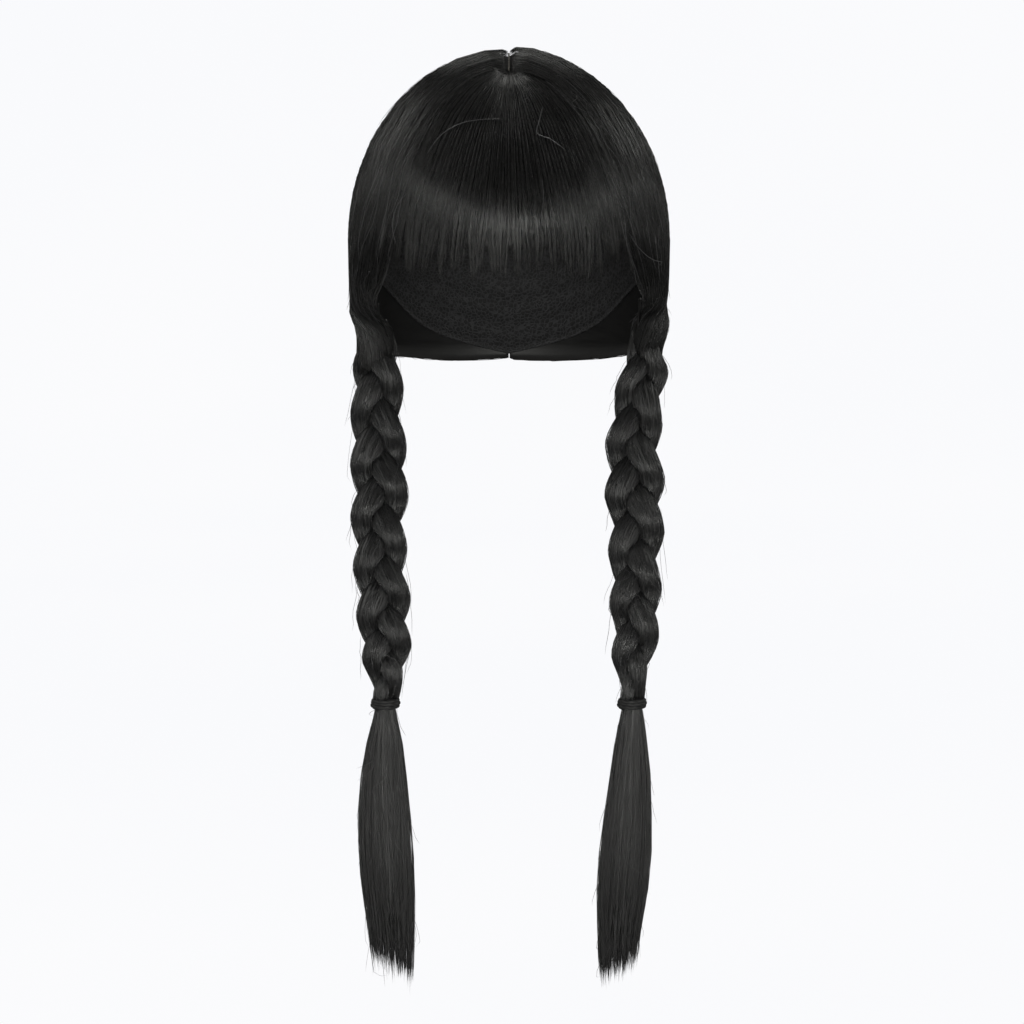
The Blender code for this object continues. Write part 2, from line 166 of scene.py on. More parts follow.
# Braids: the middle of each at several heights, its half width, and how its locks cross
BRAID_DEPTH = {
    "height": (-134, -154, -192, -232, -272, -308, -332, -345),
    "depth": (13, 11, 3, -13, -29, -39, -42, -42),
}
BRAIDS = {
    "right": {
        "first notch": -139.3 * MM,
        "notch step": 29.6 * MM,
        "step loss": 0.506 * MM,
        "turn": math.radians(0),
        "height": (
            -126, -134, -141, -149, -158, -175, -192, -216, -240, -256, -272, -288, -304, -320, -332
        ),
        "side": (75.2, 72.3, 69.8, 69.6, 70, 69.8, 69.6, 68.2, 68.2, 67.4, 66, 65, 64, 63.8, 64.2),
        "half width": (9, 8.8, 8.8, 11.4, 13.4, 14, 14.8, 15.6, 14.8, 14.4, 14.6, 14.2, 13, 8.2, 6.3),
    },
    "left": {
        "first notch": -114.8 * MM,
        "notch step": 28.6 * MM,
        "step loss": 0.13 * MM,
        "turn": math.radians(10),
        "height": (
            -118, -126, -134, -141, -149, -158, -175, -192, -216, -240, -256, -272, -288, -304, -320,
            -332,
        ),
        "side": (74.5, 74.7, 75, 74, 72, 71.6, 68.8, 66.4, 66.2, 66.6, 66, 65.8, 66, 64.6, 63.8, 63.8),
        "half width": (8, 8, 8.7, 9.3, 9.8, 12.6, 13.6, 14.6, 16, 15, 14, 13.8, 13.2, 11.4, 7.2, 6.3),
    },
}
# Loose hairs over the fringe: side and height of points on each, in millimetres
LOOSE_HAIRS = (
    ((-42, -49), (-34, -38), (-24, -32), (-12, -30), (0, -30)),
    ((17, -23), (15, -31), (14, -37), (21, -40), (29, -46)),
    ((16, -58), (17, -66), (16.5, -74), (15, -80), (15.5, -86)),
    ((-56, -92), (-58, -84), (-57, -76), (-54, -70), (-50, -66)),
    ((60, -86), (64, -92), (69, -97), (74, -100), (79, -101)),
)
LOCK_COUNT = 3
# Shares of a braid's half width: how far its locks swing and cross, and their half depth
SWING_SHARE = 0.46
CROSS_SHARE = 0.33
LOCK_DEPTH_SHARE = 0.42
BUNCH_DEPTH_SHARE = CROSS_SHARE + LOCK_DEPTH_SHARE
OUTER_NOTCH = math.radians(150)
# How quickly a lock crosses over, how deep its dense hair lies, and how far its ends are hidden
CROSS_SHARPNESS = 1.6
LOCK_SINK = 0.7 * MM
LOCK_ENDS = (6 * MM, 2 * MM)

# Tails, from the neck inside the tie down to where their ends begin to part, in millimetres
TAILS = {
    "right": {
        "height": (-325, -332.8, -337, -348, -362, -382, -405, -428, -448, -466, -479),
        "side": (64.1, 64.1, 64.2, 64.5, 65, 65, 64.2, 63, 61.6, 60.8, 60.2),
        "half width": (5.4, 5.4, 6.4, 8.8, 11, 12.9, 13.9, 13.4, 11.9, 10.8, 9.6),
    },
    "left": {
        "height": (-325, -332.8, -337, -348, -362, -382, -405, -428, -448, -466, -479),
        "side": (63.9, 63.9, 63.8, 63.4, 63.2, 62.2, 60.8, 59.2, 57.6, 57, 56.6),
        "half width": (5.4, 5.4, 6.3, 8, 9.8, 11.6, 13.2, 12.9, 11.2, 10, 8.8),
    },
}
TAIL_DEPTH_SHARE = 0.72
# The elastic of a tie: turns, where the first one starts, and how far its ends are tucked in
TIE_TURNS = 3.3
TIE_START = 2.2
TIE_TUCK = 1.6 * MM
TAIL_WISPS = 26
# Heights in millimetres: first strands, last strands that start on the way, cut, lowest tip, core
TAIL_ROOT = -326
TAIL_LAST_START = -440
TAIL_CUT = -468
TAIL_LOWEST = -484
TAIL_CORE = (-327, -452)
NECK_RADIUS = 5.4 * MM

# Grids of the crown hair and of the fringe
CROWN_ROWS = 111
CROWN_COLUMNS = 108
FRINGE_LENGTH = 110 * MM
FRINGE_WIDTH = 1.08
TUFTS = 19
WISPS = 62

# Softboxes aimed at the fringe: azimuth and elevation in degrees, distance and sizes in metres,
# and power in watts
LIGHT_AIM = (0, 0, -0.1)
LIGHTS = {
    "front": (0, -1, 1.0, (0.5, 0.15), 4.1),
    "low front": (0, -15, 0.7, (0.15, 0.15), 0.5),
    "below": (0, -29, 0.8, (0.5, 0.1), 1.0),
    "right rear": (-104, 37, 2.4, (0.8, 1.2), 12),
    "left rear": (104, 37, 2.4, (0.8, 1.2), 12),
    "right low": (-75, -8, 2.4, (0.6, 1.2), 1.0),
    "left low": (75, -8, 2.4, (0.6, 1.2), 1.0),
    "rear": (180, 62, 2.4, (1.6, 0.5), 8),
}
LIGHT_COLOUR = "#FFFFFA"
ROOM_COLOUR = "#FBFAF6"
ROOM_STRENGTH = 0.17

# Camera, and the floor that sweeps up to a wall all round
CAMERA_DISTANCE = 1.5
CAMERA_ELEVATION = math.radians(6)
CAMERA_AIM = (0.0016, 0, -0.2337)
CAMERA_LENS = 99.5
FLOOR_REACH = 2.6
SWEEP_RADIUS = 1.2
WALL_HEIGHT = 4.5

# Real sizes in the finishes: streaks of fibres, the cap's net and the cover of the elastics
STREAK_WIDTH = 0.5 * MM
STREAK_LENGTH = 35 * MM
FIBRE_RIDGE = 0.12 * MM
NET_MESH = 2.2 * MM
NET_THREAD = 0.3 * MM
COVER_REPEAT = 6 * MM
COVER_THREAD = 0.12 * MM


# Small mathematics


def unit(vectors):
    """The vectors scaled to a length of one."""
    return vectors / np.maximum(np.linalg.norm(vectors, axis=-1, keepdims=True), 1e-12)


def smooth(value):
    """An ease from 0 to 1 that starts and ends level."""
    value = np.clip(value, 0, 1)
    return value * value * (3 - 2 * value)


def curve_through(points, share):
    """A smooth curve through evenly spaced points (first axis), read at shares from 0 to 1."""
    points = np.asarray(points, float)
    last = len(points) - 1
    place = np.clip(np.atleast_1d(share) * last, 0, last)
    start = np.minimum(place.astype(int), last - 1)
    step = (place - start).reshape((-1,) + (1,) * (points.ndim - 1))
    padded = np.concatenate([[2 * points[0] - points[1]], points, [2 * points[-1] - points[-2]]])
    before, here, there, after = (padded[start + i] for i in range(4))
    return here + 0.5 * step * (
        there - before + step * (2 * before - 5 * here + 4 * there - after
                                 + step * (3 * (here - there) + after - before))
    )


def table(columns, name, value, by="height"):
    """A column of a table, read smoothly at a value of its first column."""
    keys = np.array(columns[by], float)
    order = np.argsort(keys)
    keys = keys[order]
    entries = np.array(columns[name], float)[order]
    slopes = np.gradient(entries, keys)
    value = np.clip(np.asarray(value, float), keys[0], keys[-1])
    i = np.clip(np.searchsorted(keys, value, side="right") - 1, 0, len(keys) - 2)
    width = keys[i + 1] - keys[i]
    share = (value - keys[i]) / width
    bend = share * (1 - share) * width
    return entries[i] + (entries[i + 1] - entries[i]) * smooth(share) + bend * (
        slopes[i] * (1 - share) - slopes[i + 1] * share
    )


def grid_of(down, over):
    """Values down the rows and values over the columns of a grid, each repeated to fill it."""
    return np.meshgrid(down, over, indexing="ij")


def read_grid(grid, row, column):
    """Values between the points of a grid, at rows and columns given as shares from 0 to 1."""
    rows, columns = grid.shape[:2]
    row = np.clip(row, 0, 1) * (rows - 1)
    column = np.clip(column, 0, 1) * (columns - 1)
    r = np.minimum(row.astype(int), rows - 2)
    c = np.minimum(column.astype(int), columns - 2)
    down = (row - r)[..., None]
    over = (column - c)[..., None]
    return (
        grid[r, c] * (1 - down) * (1 - over)
        + grid[r + 1, c] * down * (1 - over)
        + grid[r, c + 1] * (1 - down) * over
        + grid[r + 1, c + 1] * down * over
    )


def wander(random, count, share):
    """A slow sideways drift for each of many strands, about 1 wide, at shares along them."""
    drift = np.zeros((count, len(share)))
    for wave in WANDER_WAVES:
        start = random.uniform(0, math.tau, (count, 1))
        reach = random.normal(0, 1, (count, 1)) / wave
        drift += reach * np.sin(wave * math.tau * share[None, :] + start)
    return drift / len(WANDER_WAVES)


# The hollow of the cap and the layers of net and hair over it


def hollow_sizes(height, layer, behind):
    """Half width and half depth of a layer over the hollow at a height."""
    drop = np.clip(-(height + HOLLOW_CROWN), 0, None) / MM
    side = HOLLOW_SIDE + layer + table(LOWER_HOLLOW, "side", drop, "drop") * MM
    front = HOLLOW_FRONT + table(LOWER_HOLLOW, "front", drop, "drop") * MM
    back = HOLLOW_BACK + table(LOWER_HOLLOW, "back", drop, "drop") * MM
    return side, np.where(behind, back, front) + layer


def on_layer(directions, layer):
    """Points of a layer over the hollow, in directions from the middle of its widest level."""
    directions = unit(np.asarray(directions, float))
    level = np.hypot(directions[..., 0], directions[..., 1])
    upper = directions[..., 2] >= 0
    crown = HOLLOW_CROWN + layer
    height = -HOLLOW_CROWN + crown * np.where(upper, directions[..., 2], np.arcsin(directions[..., 2]))
    side, depth = hollow_sizes(height, layer, directions[..., 1] > 0)
    reach = np.where(upper, 1, 1 / np.maximum(level, 1e-9))
    return np.stack(
        [side * directions[..., 0] * reach, depth * directions[..., 1] * reach, height], axis=-1
    )


def direction_of(point):
    """The direction in which on_layer finds a point of the hair's outside, given in millimetres."""
    side, depth, height = (float(v) * MM for v in point)
    half_side, half_depth = hollow_sizes(height, HAIR_OUTSIDE, depth > 0)
    flat = np.array([side / half_side, depth / half_depth])
    rise = (height + HOLLOW_CROWN) / (HOLLOW_CROWN + HAIR_OUTSIDE)
    if rise >= 0:
        return unit(np.array([*flat, rise]))
    return np.array([*(unit(flat) * math.cos(rise)), math.sin(rise)])


def hollow_outward(points):
    """Directions straight out of the hollow at points of its layers."""
    upper = np.clip(points[..., 2] + HOLLOW_CROWN, 0, None) / HOLLOW_CROWN ** 2
    depth = np.where(points[..., 1] > 0, HOLLOW_BACK, HOLLOW_FRONT)
    return unit(np.stack(
        [points[..., 0] / HOLLOW_SIDE ** 2, points[..., 1] / depth ** 2, upper], axis=-1
    ))


# Meshes


def quads_of(index):
    """Four-sided faces between neighbours in a grid of point numbers."""
    return np.stack(
        [index[:-1, :-1], index[:-1, 1:], index[1:, 1:], index[1:, :-1]], axis=-1
    ).reshape(-1, 4)


class Bundle:
    """Points, faces and strand marks gathered for one mesh.

    A mark holds where a point lies on its strand: how far across the hair, how far along it and
    a number from 0 to 1 that is the strand's own.
    """

    def __init__(self):
        self.points = []
        self.marks = []
        self.quads = []
        self.triangles = []
        self.count = 0

    def add(self, points, marks, quads=(), triangles=()):
        """Adds closed bodies, with their faces turned outwards."""
        points = np.asarray(points, float).reshape(-1, 3)
        quads = np.asarray(quads, int).reshape(-1, 4)
        triangles = np.asarray(triangles, int).reshape(-1, 3)
        split = np.concatenate([quads[:, :3], quads[:, [0, 2, 3]], triangles])
        a, b, c = (points[split[:, i]] - points.mean(0) for i in range(3))
        if np.sum(a * np.cross(b, c)) < 0:
            quads = quads[:, ::-1]
            triangles = triangles[:, ::-1]
        self.points.append(points)
        self.marks.append(np.asarray(marks, float).reshape(-1, 3))
        self.quads.append(quads + self.count)
        self.triangles.append(triangles + self.count)
        self.count += len(points)

    def add_tube(self, points, marks):
        """A closed body through rings of points, with a cap at each end."""
        rows, columns = points.shape[:2]
        index = np.arange(rows * columns).reshape(rows, columns)
        index = np.concatenate([index, index[:, :1]], axis=1)
        quads = quads_of(index)
        first, last = rows * columns, rows * columns + 1
        around = [(index[0, i + 1], index[0, i], first) for i in range(columns)]
        around += [(index[-1, i], index[-1, i + 1], last) for i in range(columns)]
        ends = [values.reshape(-1, 3) for values in (points, marks)]
        self.add(
            np.concatenate([ends[0], points[:1].mean(1), points[-1:].mean(1)]),
            np.concatenate([ends[1], marks[:1].mean(1), marks[-1:].mean(1)]),
            quads, around,
        )

    def add_shell(self, outside, inside, marks):
        """A closed body between two grids of points, joined all round their edges."""
        rows, columns = outside.shape[:2]
        outer = np.arange(rows * columns).reshape(rows, columns)
        inner = outer + rows * columns
        quads = [quads_of(outer), quads_of(inner[:, ::-1])]
        for edge in (0, -1):
            turn = slice(None, None, 1 if edge == 0 else -1)
            quads.append(quads_of(np.stack([inner[edge], outer[edge]])[:, turn]))
            quads.append(quads_of(np.stack([outer[:, edge], inner[:, edge]])[:, turn]))
        self.add(
            np.concatenate([outside.reshape(-1, 3), inside.reshape(-1, 3)]),
            np.concatenate([marks.reshape(-1, 3)] * 2), np.concatenate(quads),
        )

    def add_strands(self, paths, outward, widths, offsets, flatness=0.55):
        """Closed three-sided strands along paths, ridged outwards, drawn to a point at both ends."""
        count, length = paths.shape[:2]
        along = np.gradient(paths, axis=1)
        side = unit(np.cross(along, outward))
        up = unit(np.cross(side, along))
        corners = np.radians([90, 210, 330])
        inner = slice(1, length - 1)
        spread = widths[:, inner, None, None] / 2
        rings = paths[:, inner, None] + spread * (
            side[:, inner, None] * np.cos(corners)[:, None]
            + up[:, inner, None] * np.sin(corners)[:, None] * flatness
        )
        steps = np.linalg.norm(np.diff(paths, axis=1), axis=-1)
        run = np.concatenate([np.zeros((count, 1)), np.cumsum(steps, axis=1)], axis=1)
        own = np.broadcast_to(offsets[:, None], (count, length))
        chance = np.modf(np.abs(offsets) * 1e5)[0]
        marks = np.stack([own, run, np.broadcast_to(chance[:, None], (count, length))], axis=-1)
        points = np.concatenate(
            [rings.reshape(count, -1, 3), paths[:, :1], paths[:, -1:]], axis=1
        )
        all_marks = np.concatenate(
            [np.repeat(marks[:, inner], 3, axis=1), marks[:, :1], marks[:, -1:]], axis=1
        )
        rows = length - 2
        ring = np.arange(rows * 3).reshape(rows, 3)
        ring = np.concatenate([ring, ring[:, :1]], axis=1)
        root, tip = rows * 3, rows * 3 + 1
        ends = [(root, ring[0, i + 1], ring[0, i]) for i in range(3)]
        ends += [(tip, ring[-1, i], ring[-1, i + 1]) for i in range(3)]
        base = (np.arange(count) * (rows * 3 + 2))[:, None, None]
        self.add(
            points, all_marks,
            quads_of(ring)[None] + base, np.array(ends)[None] + base,
        )

    def make(self, name, material):
        """A smooth-shaded object of all that was gathered."""
        points = np.concatenate(self.points)
        quads = np.concatenate(self.quads) if self.quads else np.zeros((0, 4), int)
        triangles = np.concatenate(self.triangles) if self.triangles else np.zeros((0, 3), int)
        mesh = bpy.data.meshes.new(name)
        mesh.vertices.add(len(points))
        mesh.vertices.foreach_set("co", points.astype(np.float32).ravel())
        mesh.loops.add(quads.size + triangles.size)
        mesh.loops.foreach_set(
            "vertex_index", np.concatenate([quads.ravel(), triangles.ravel()]).astype(np.int32)
        )
        mesh.polygons.add(len(quads) + len(triangles))
        starts = np.concatenate(
            [np.arange(len(quads)) * 4, quads.size + np.arange(len(triangles)) * 3]
        )
        mesh.polygons.foreach_set("loop_start", starts.astype(np.int32))
        mesh.update(calc_edges=True)
        mesh.validate()
        marks = mesh.attributes.new("strand", "FLOAT_VECTOR", "POINT")
        marks.data.foreach_set("vector", np.concatenate(self.marks).astype(np.float32).ravel())
        mesh.shade_smooth()
        mesh.materials.append(material)
        made = bpy.data.objects.new(name, mesh)
        bpy.context.scene.collection.objects.link(made)
        return made


def taper(share, root=0.12, tip=0.3, least=0.25):
    """Thickness along a strand: thinner at its root, drawn out at its tip."""
    ease = smooth(share / root) * smooth((1 - share) / tip)
    return least + (1 - least) * ease


def raised(base, normal, lift):
    """Points moved outwards by lifts in millimetres."""
    return base + normal * (lift * MM)[..., None]


def lay_strands(bundle, random, paths, normal, width, least, most, shape):
    """Adds strands whose widths are one width times a number of their own from least to most."""
    count = len(paths)
    widths = width * random.uniform(least, most, count)
    bundle.add_strands(paths, normal, widths[:, None] * shape, random.uniform(0, 1, count))


def eased_shares(count):
    """Shares from 0 to 1 that stand closest at both ends, where strands bend most."""
    return (1 - np.cos(np.linspace(0, math.pi, count))) / 2


# Materials


def linear(hex_colour):
    """An sRGB hex colour as linear red, green and blue."""
    parts = [int(hex_colour[i:i + 2], 16) / 255 for i in (1, 3, 5)]
    return tuple(p / 12.92 if p <= 0.04045 else ((p + 0.055) / 1.055) ** 2.4 for p in parts)


def add_node(tree, kind, settings=None, links=None):
    """One node with its settings, and with sockets linked to others or set to values."""
    node = tree.nodes.new(kind)
    for name, value in (settings or {}).items():
        setattr(node, name, value)
    for name, source in (links or {}).items():
        socket = node.inputs[name]
        if isinstance(source, bpy.types.NodeSocket):
            tree.links.new(source, socket)
        else:
            socket.default_value = source
    return node


def new_material(name):
    """An empty node material with its Principled shader and output."""
    material = bpy.data.materials.new(name)
    material.use_nodes = True
    tree = material.node_tree
    tree.nodes.clear()
    shader = add_node(tree, "ShaderNodeBsdfPrincipled")
    add_node(tree, "ShaderNodeOutputMaterial", links={"Surface": shader.outputs["BSDF"]})
    return material, tree, shader


def finish_surface(tree, shader, shades, factor, height, depth, strength=1.0):
    """Colours a surface between two shades by one pattern and raises it by another."""
    dark, light = ((*linear(shade), 1) for shade in shades)
    colour = add_node(
        tree, "ShaderNodeMix", {"data_type": "RGBA"}, {"Factor": factor, "A": dark, "B": light}
    )
    bump = add_node(
        tree, "ShaderNodeBump", {}, {"Height": height, "Distance": depth, "Strength": strength}
    )
    tree.links.new(colour.outputs["Result"], shader.inputs["Base Color"])
    tree.links.new(bump.outputs[0], shader.inputs["Normal"])


def modacrylic_fibre(name, shades, roughness, specular):
    """Heat-set modacrylic fibre, extruded and drawn: smooth rods that give long soft sheens."""
    material, tree, shader = new_material(name)
    marks = add_node(tree, "ShaderNodeAttribute", {"attribute_name": "strand"})
    apart = add_node(tree, "ShaderNodeSeparateXYZ", links={"Vector": marks.outputs["Vector"]})
    across = apart.outputs["X"]
    along = apart.outputs["Y"]
    # Single fibres are 0.08 mm thick, too fine to show, so they are drawn as wider streaks
    streak_place = add_node(
        tree, "ShaderNodeCombineXYZ",
        links={
            "X": add_node(tree, "ShaderNodeMath", {"operation": "MULTIPLY"},
                          {0: across, 1: 1 / STREAK_WIDTH}).outputs[0],
            "Y": add_node(tree, "ShaderNodeMath", {"operation": "MULTIPLY"},
                          {0: along, 1: 1 / STREAK_LENGTH}).outputs[0],
        },
    )
    streaks = add_node(
        tree, "ShaderNodeTexNoise", {"noise_dimensions": "2D"},
        {"Vector": streak_place.outputs[0], "Scale": 1.0, "Detail": 3.0, "Roughness": 0.6},
    )
    factor = add_node(
        tree, "ShaderNodeMapRange", {},
        {"Value": streaks.outputs["Fac"], "From Min": 0.3, "From Max": 0.7},
    )
    rough = add_node(
        tree, "ShaderNodeMapRange", {},
        {
            "Value": streaks.outputs["Fac"], "From Min": 0.25, "From Max": 0.75,
            "To Min": roughness - 0.07, "To Max": roughness + 0.09,
        },
    )
    # Hair underneath lies in every direction, so it is duller than the combed strands
    under = add_node(
        tree, "ShaderNodeMath", {"operation": "LESS_THAN"}, {0: apart.outputs["Z"], 1: 0.0}
    )
    rough = add_node(
        tree, "ShaderNodeMath", {"operation": "MULTIPLY_ADD"},
        {0: under.outputs[0], 1: 0.3, 2: rough.outputs[0]},
    )
    finish_surface(
        tree, shader, shades, factor.outputs[0], streaks.outputs["Fac"], FIBRE_RIDGE, 0.5
    )
    tree.links.new(rough.outputs[0], shader.inputs["Roughness"])
    shader.inputs["IOR"].default_value = 1.54
    shader.inputs["Specular IOR Level"].default_value = specular
    return material


def wig_net(name, shades):
    """Knitted nylon and elastane net: a matt open mesh with threads 0.3 mm thick."""
    material, tree, shader = new_material(name)
    place = add_node(tree, "ShaderNodeTexCoord")
    cells = add_node(
        tree, "ShaderNodeTexVoronoi", {"feature": "DISTANCE_TO_EDGE"},
        {"Vector": place.outputs["Object"], "Scale": 1 / NET_MESH},
    )
    thread = add_node(
        tree, "ShaderNodeMapRange", {},
        {"Value": cells.outputs["Distance"], "From Min": 0.06, "From Max": 0.2,
         "To Min": 1.0, "To Max": 0.0},
    )
    finish_surface(tree, shader, shades, thread.outputs[0], thread.outputs[0], NET_THREAD)
    shader.inputs["Roughness"].default_value = 0.8
    return material


def covered_elastic(name, shades):
    """Rubber-cored cord covered with polyester thread: matt, with a slanting thread pattern whose
    grooves are darkened with painted shade.
    """
    material, tree, shader = new_material(name)
    marks = add_node(tree, "ShaderNodeAttribute", {"attribute_name": "strand"})
    wave = add_node(
        tree, "ShaderNodeTexWave", {"bands_direction": "DIAGONAL"},
        {"Vector": marks.outputs["Vector"], "Scale": 1 / COVER_REPEAT, "Distortion": 1.0,
         "Detail": 2.0},
    )
    # The wave darkens the grooves as it sinks them: painted shade in the grooves
    finish_surface(tree, shader, shades, wave.outputs["Fac"], wave.outputs["Fac"], COVER_THREAD)
    shader.inputs["Roughness"].default_value = 0.6
    return material


def seamless_paper(name, dark, light):
    """Matt white background paper, evenly lit from beyond the picture so that it stays near white."""
    material, tree, shader = new_material(name)
    place = add_node(tree, "ShaderNodeTexCoord")
    tone = add_node(
        tree, "ShaderNodeTexNoise", {}, {"Vector": place.outputs["Object"], "Scale": 1.2}
    )
    mixed = add_node(
        tree, "ShaderNodeMix", {"data_type": "RGBA"},
        {"Factor": tone.outputs["Fac"], "A": (*linear(dark), 1), "B": (*linear(light), 1)},
    )
    tree.links.new(mixed.outputs["Result"], shader.inputs["Emission Color"])
    shader.inputs["Emission Strength"].default_value = 1.0
    shader.inputs["Base Color"].default_value = (0, 0, 0, 1)
    shader.inputs["Roughness"].default_value = 0.9
    shader.inputs["Specular IOR Level"].default_value = 0.0
    return material


# Crown hair


def hair_directions(across, along):
    """Directions of the crown hair on the wearer's left, as rows along it and columns across it."""
    guides = np.array([[direction_of(point) for point in lock] for lock in GUIDE_LOCKS.values()])
    along_guides = curve_through(guides.transpose(1, 0, 2), along)
    return unit(curve_through(along_guides.transpose(1, 0, 2), across).transpose(1, 0, 2))


def combed_directions(across, along):
    """The same, with hair that spreads past its front edge over the fringe (across below 0)."""
    inside = hair_directions(np.abs(across), along)
    edge = hair_directions(np.zeros(1), along)
    return unit(np.where(across[None, :, None] < 0, 2 * edge - inside, inside))


def braid_middle(side_name, height):
    """Side and depth of the middle of a braid at a height."""
    side = SIDES[side_name] * table(BRAIDS[side_name], "side", height / MM) * MM
    return side, table(BRAID_DEPTH, "depth", height / MM) * MM


def sleeve_points(side_name, around, heights, outward):
    """Points round the top of a braid, on the wearer's left, at turns from its outer front."""
    middle_side, middle_depth = braid_middle(side_name, heights)
    middle_depth = middle_depth - SLEEVE_LEAN * (heights - braid_top(side_name) + SLEEVE_END)
    reach = table(BRAIDS[side_name], "half width", heights / MM) * MM + outward
    return np.stack(
        [
            np.abs(middle_side) + reach * np.sin(around),
            middle_depth - reach * BUNCH_DEPTH_SHARE * np.cos(around),
            heights,
        ],
        axis=-1,
    )


def braid_top(side_name):
    """Height of the top of a braid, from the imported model."""
    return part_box(f"braid_{side_name}_lock_1")[1].z


def crown_grids(side_name):
    """Grids of the outside and the inside of one half of the crown hair, and its columns."""
    across = np.linspace(ACROSS_FIRST, 1, CROWN_COLUMNS)
    along = np.linspace(0, SLEEVE_LAST, CROWN_ROWS)
    directions = combed_directions(across, np.minimum(along, 1))
    from_part = np.abs(on_layer(directions, HAIR_OUTSIDE)[..., 0])
    notch = NOTCH_DEPTH * np.clip(1 - from_part / NOTCH_WIDTH, 0, 1) ** 2
    over_fringe = smooth((0.05 - across) / 0.12)[None, :] * smooth((along - 0.2) / 0.3)[:, None]
    puff = PUFF[side_name] * (1 - smooth(from_part / PUFF_WIDTH)) * smooth(from_part / NOTCH_WIDTH)
    outside = on_layer(directions, HAIR_OUTSIDE - notch + puff - OVER_FRINGE_DROP * over_fringe)
    inside = on_layer(directions, np.full(directions.shape[:2], HAIR_INSIDE))
    first = GATHER_FRONT + (GATHER_FROM - GATHER_FRONT) * smooth(across / 0.3)[None, :]
    gathered = smooth((along[:, None] - first) / (1 - first))[..., None]
    top = braid_top(side_name)
    rise = GATHER_RISE * np.maximum(1 - along[:, None], 0) / (1 - first)
    past = np.maximum(along - 1, 0)[:, None] / (SLEEVE_LAST - 1)
    around = SLEEVE_FROM + (SLEEVE_TO - SLEEVE_FROM) * across[None, :] + 0 * rise
    # The hair ends aslant, like a lock laid over the top of the braid
    heights = top + rise - SLEEVE_END * past * (1 + SLEEVE_SLANT * np.sin(around))
    around = around + SLEEVE_TWIST * smooth((along[:, None] - 0.85) / 0.25)
    tucked = SLEEVE_OUT - SLEEVE_TUCK * smooth(past)
    for grid, outward in ((outside, tucked), (inside, -SLEEVE_WALL)):
        sleeve = sleeve_points(side_name, around, heights, outward)
        grid[:] = grid * (1 - gathered) + sleeve * gathered
        closing = PART_CLOSING * (1 - smooth(grid[..., 0] / NOTCH_WIDTH))
        grid[..., 0] = np.maximum(grid[..., 0] - closing, PART_HALF_WIDTH) * SIDES[side_name]
    return outside, inside, across


def grid_outward(grid, away):
    """Normals of a grid of points, turned to the side that points away from the given middle."""
    normal = unit(np.cross(np.gradient(grid, axis=0), np.gradient(grid, axis=1)))
    facing = np.sign(np.sum(normal * (grid - away), axis=-1, keepdims=True).mean())
    return normal * facing


def crown_outward(outside):
    """Directions out of the crown hair, which next to the part are straight out of the hollow."""
    beside = 1 - smooth(np.abs(outside[..., :1]) / (9 * MM))
    normal = grid_outward(outside, np.array([0, 0, -HOLLOW_CROWN]))
    return unit(normal * (1 - beside) + hollow_outward(outside) * beside)


def clumps_of(place, edges):
    """Pull of each strand to the middle of its clump, its share of the way out, and its clump."""
    clump = np.clip(np.searchsorted(edges, place) - 1, 0, len(edges) - 2)
    half = (edges[1:] - edges[:-1])[clump] / 2
    pull = (edges[1:] + edges[:-1])[clump] / 2 - place
    return pull, np.clip(np.abs(pull) / half, 0, 1), clump


def uneven_edges(random, low, high, count):
    """Edges of clumps of uneven widths between two places."""
    widths = random.uniform(0.35, 1.65, count)
    return low + (high - low) * np.concatenate([[0], np.cumsum(widths) / widths.sum()])


class WigSizes(bpy.types.PropertyGroup):
    """Sizes and numbers of strands."""

    strand_width: bpy.props.FloatProperty(
        name="Strand width", description="Width of a drawn strand at its thickest",
        default=0.45 * MM, min=0.1 * MM, max=2 * MM, subtype="DISTANCE", unit="LENGTH",
    )
    crown_strands: bpy.props.IntProperty(
        name="Crown strands", description="Strands on each half of the crown",
        default=1980, min=100, max=3000,
    )
    fringe_strands: bpy.props.IntProperty(
        name="Fringe strands", description="Strands in the fringe",
        default=2950, min=100, max=4000,
    )
    lock_strands: bpy.props.IntProperty(
        name="Lock strands", description="Strands that lie on each lock of a braid",
        default=760, min=0, max=1000,
    )
    tail_strands: bpy.props.IntProperty(
        name="Tail strands", description="Strands in each loose end",
        default=760, min=100, max=2000,
    )
    stray_strands: bpy.props.IntProperty(
        name="Stray strands", description="Loose single hairs over the whole wig",
        default=260, min=0, max=1000,
    )
    cord_radius: bpy.props.FloatProperty(
        name="Elastic radius", description="Radius of the elastic cord of a tie",
        default=0.95 * MM, min=0.3 * MM, max=2 * MM, subtype="DISTANCE", unit="LENGTH",
    )
    floor_drop: bpy.props.FloatProperty(
        name="Floor below the hair", description="How far the floor lies below the lowest hair",
        default=25 * MM, min=0, max=1, subtype="DISTANCE", unit="LENGTH",
    )


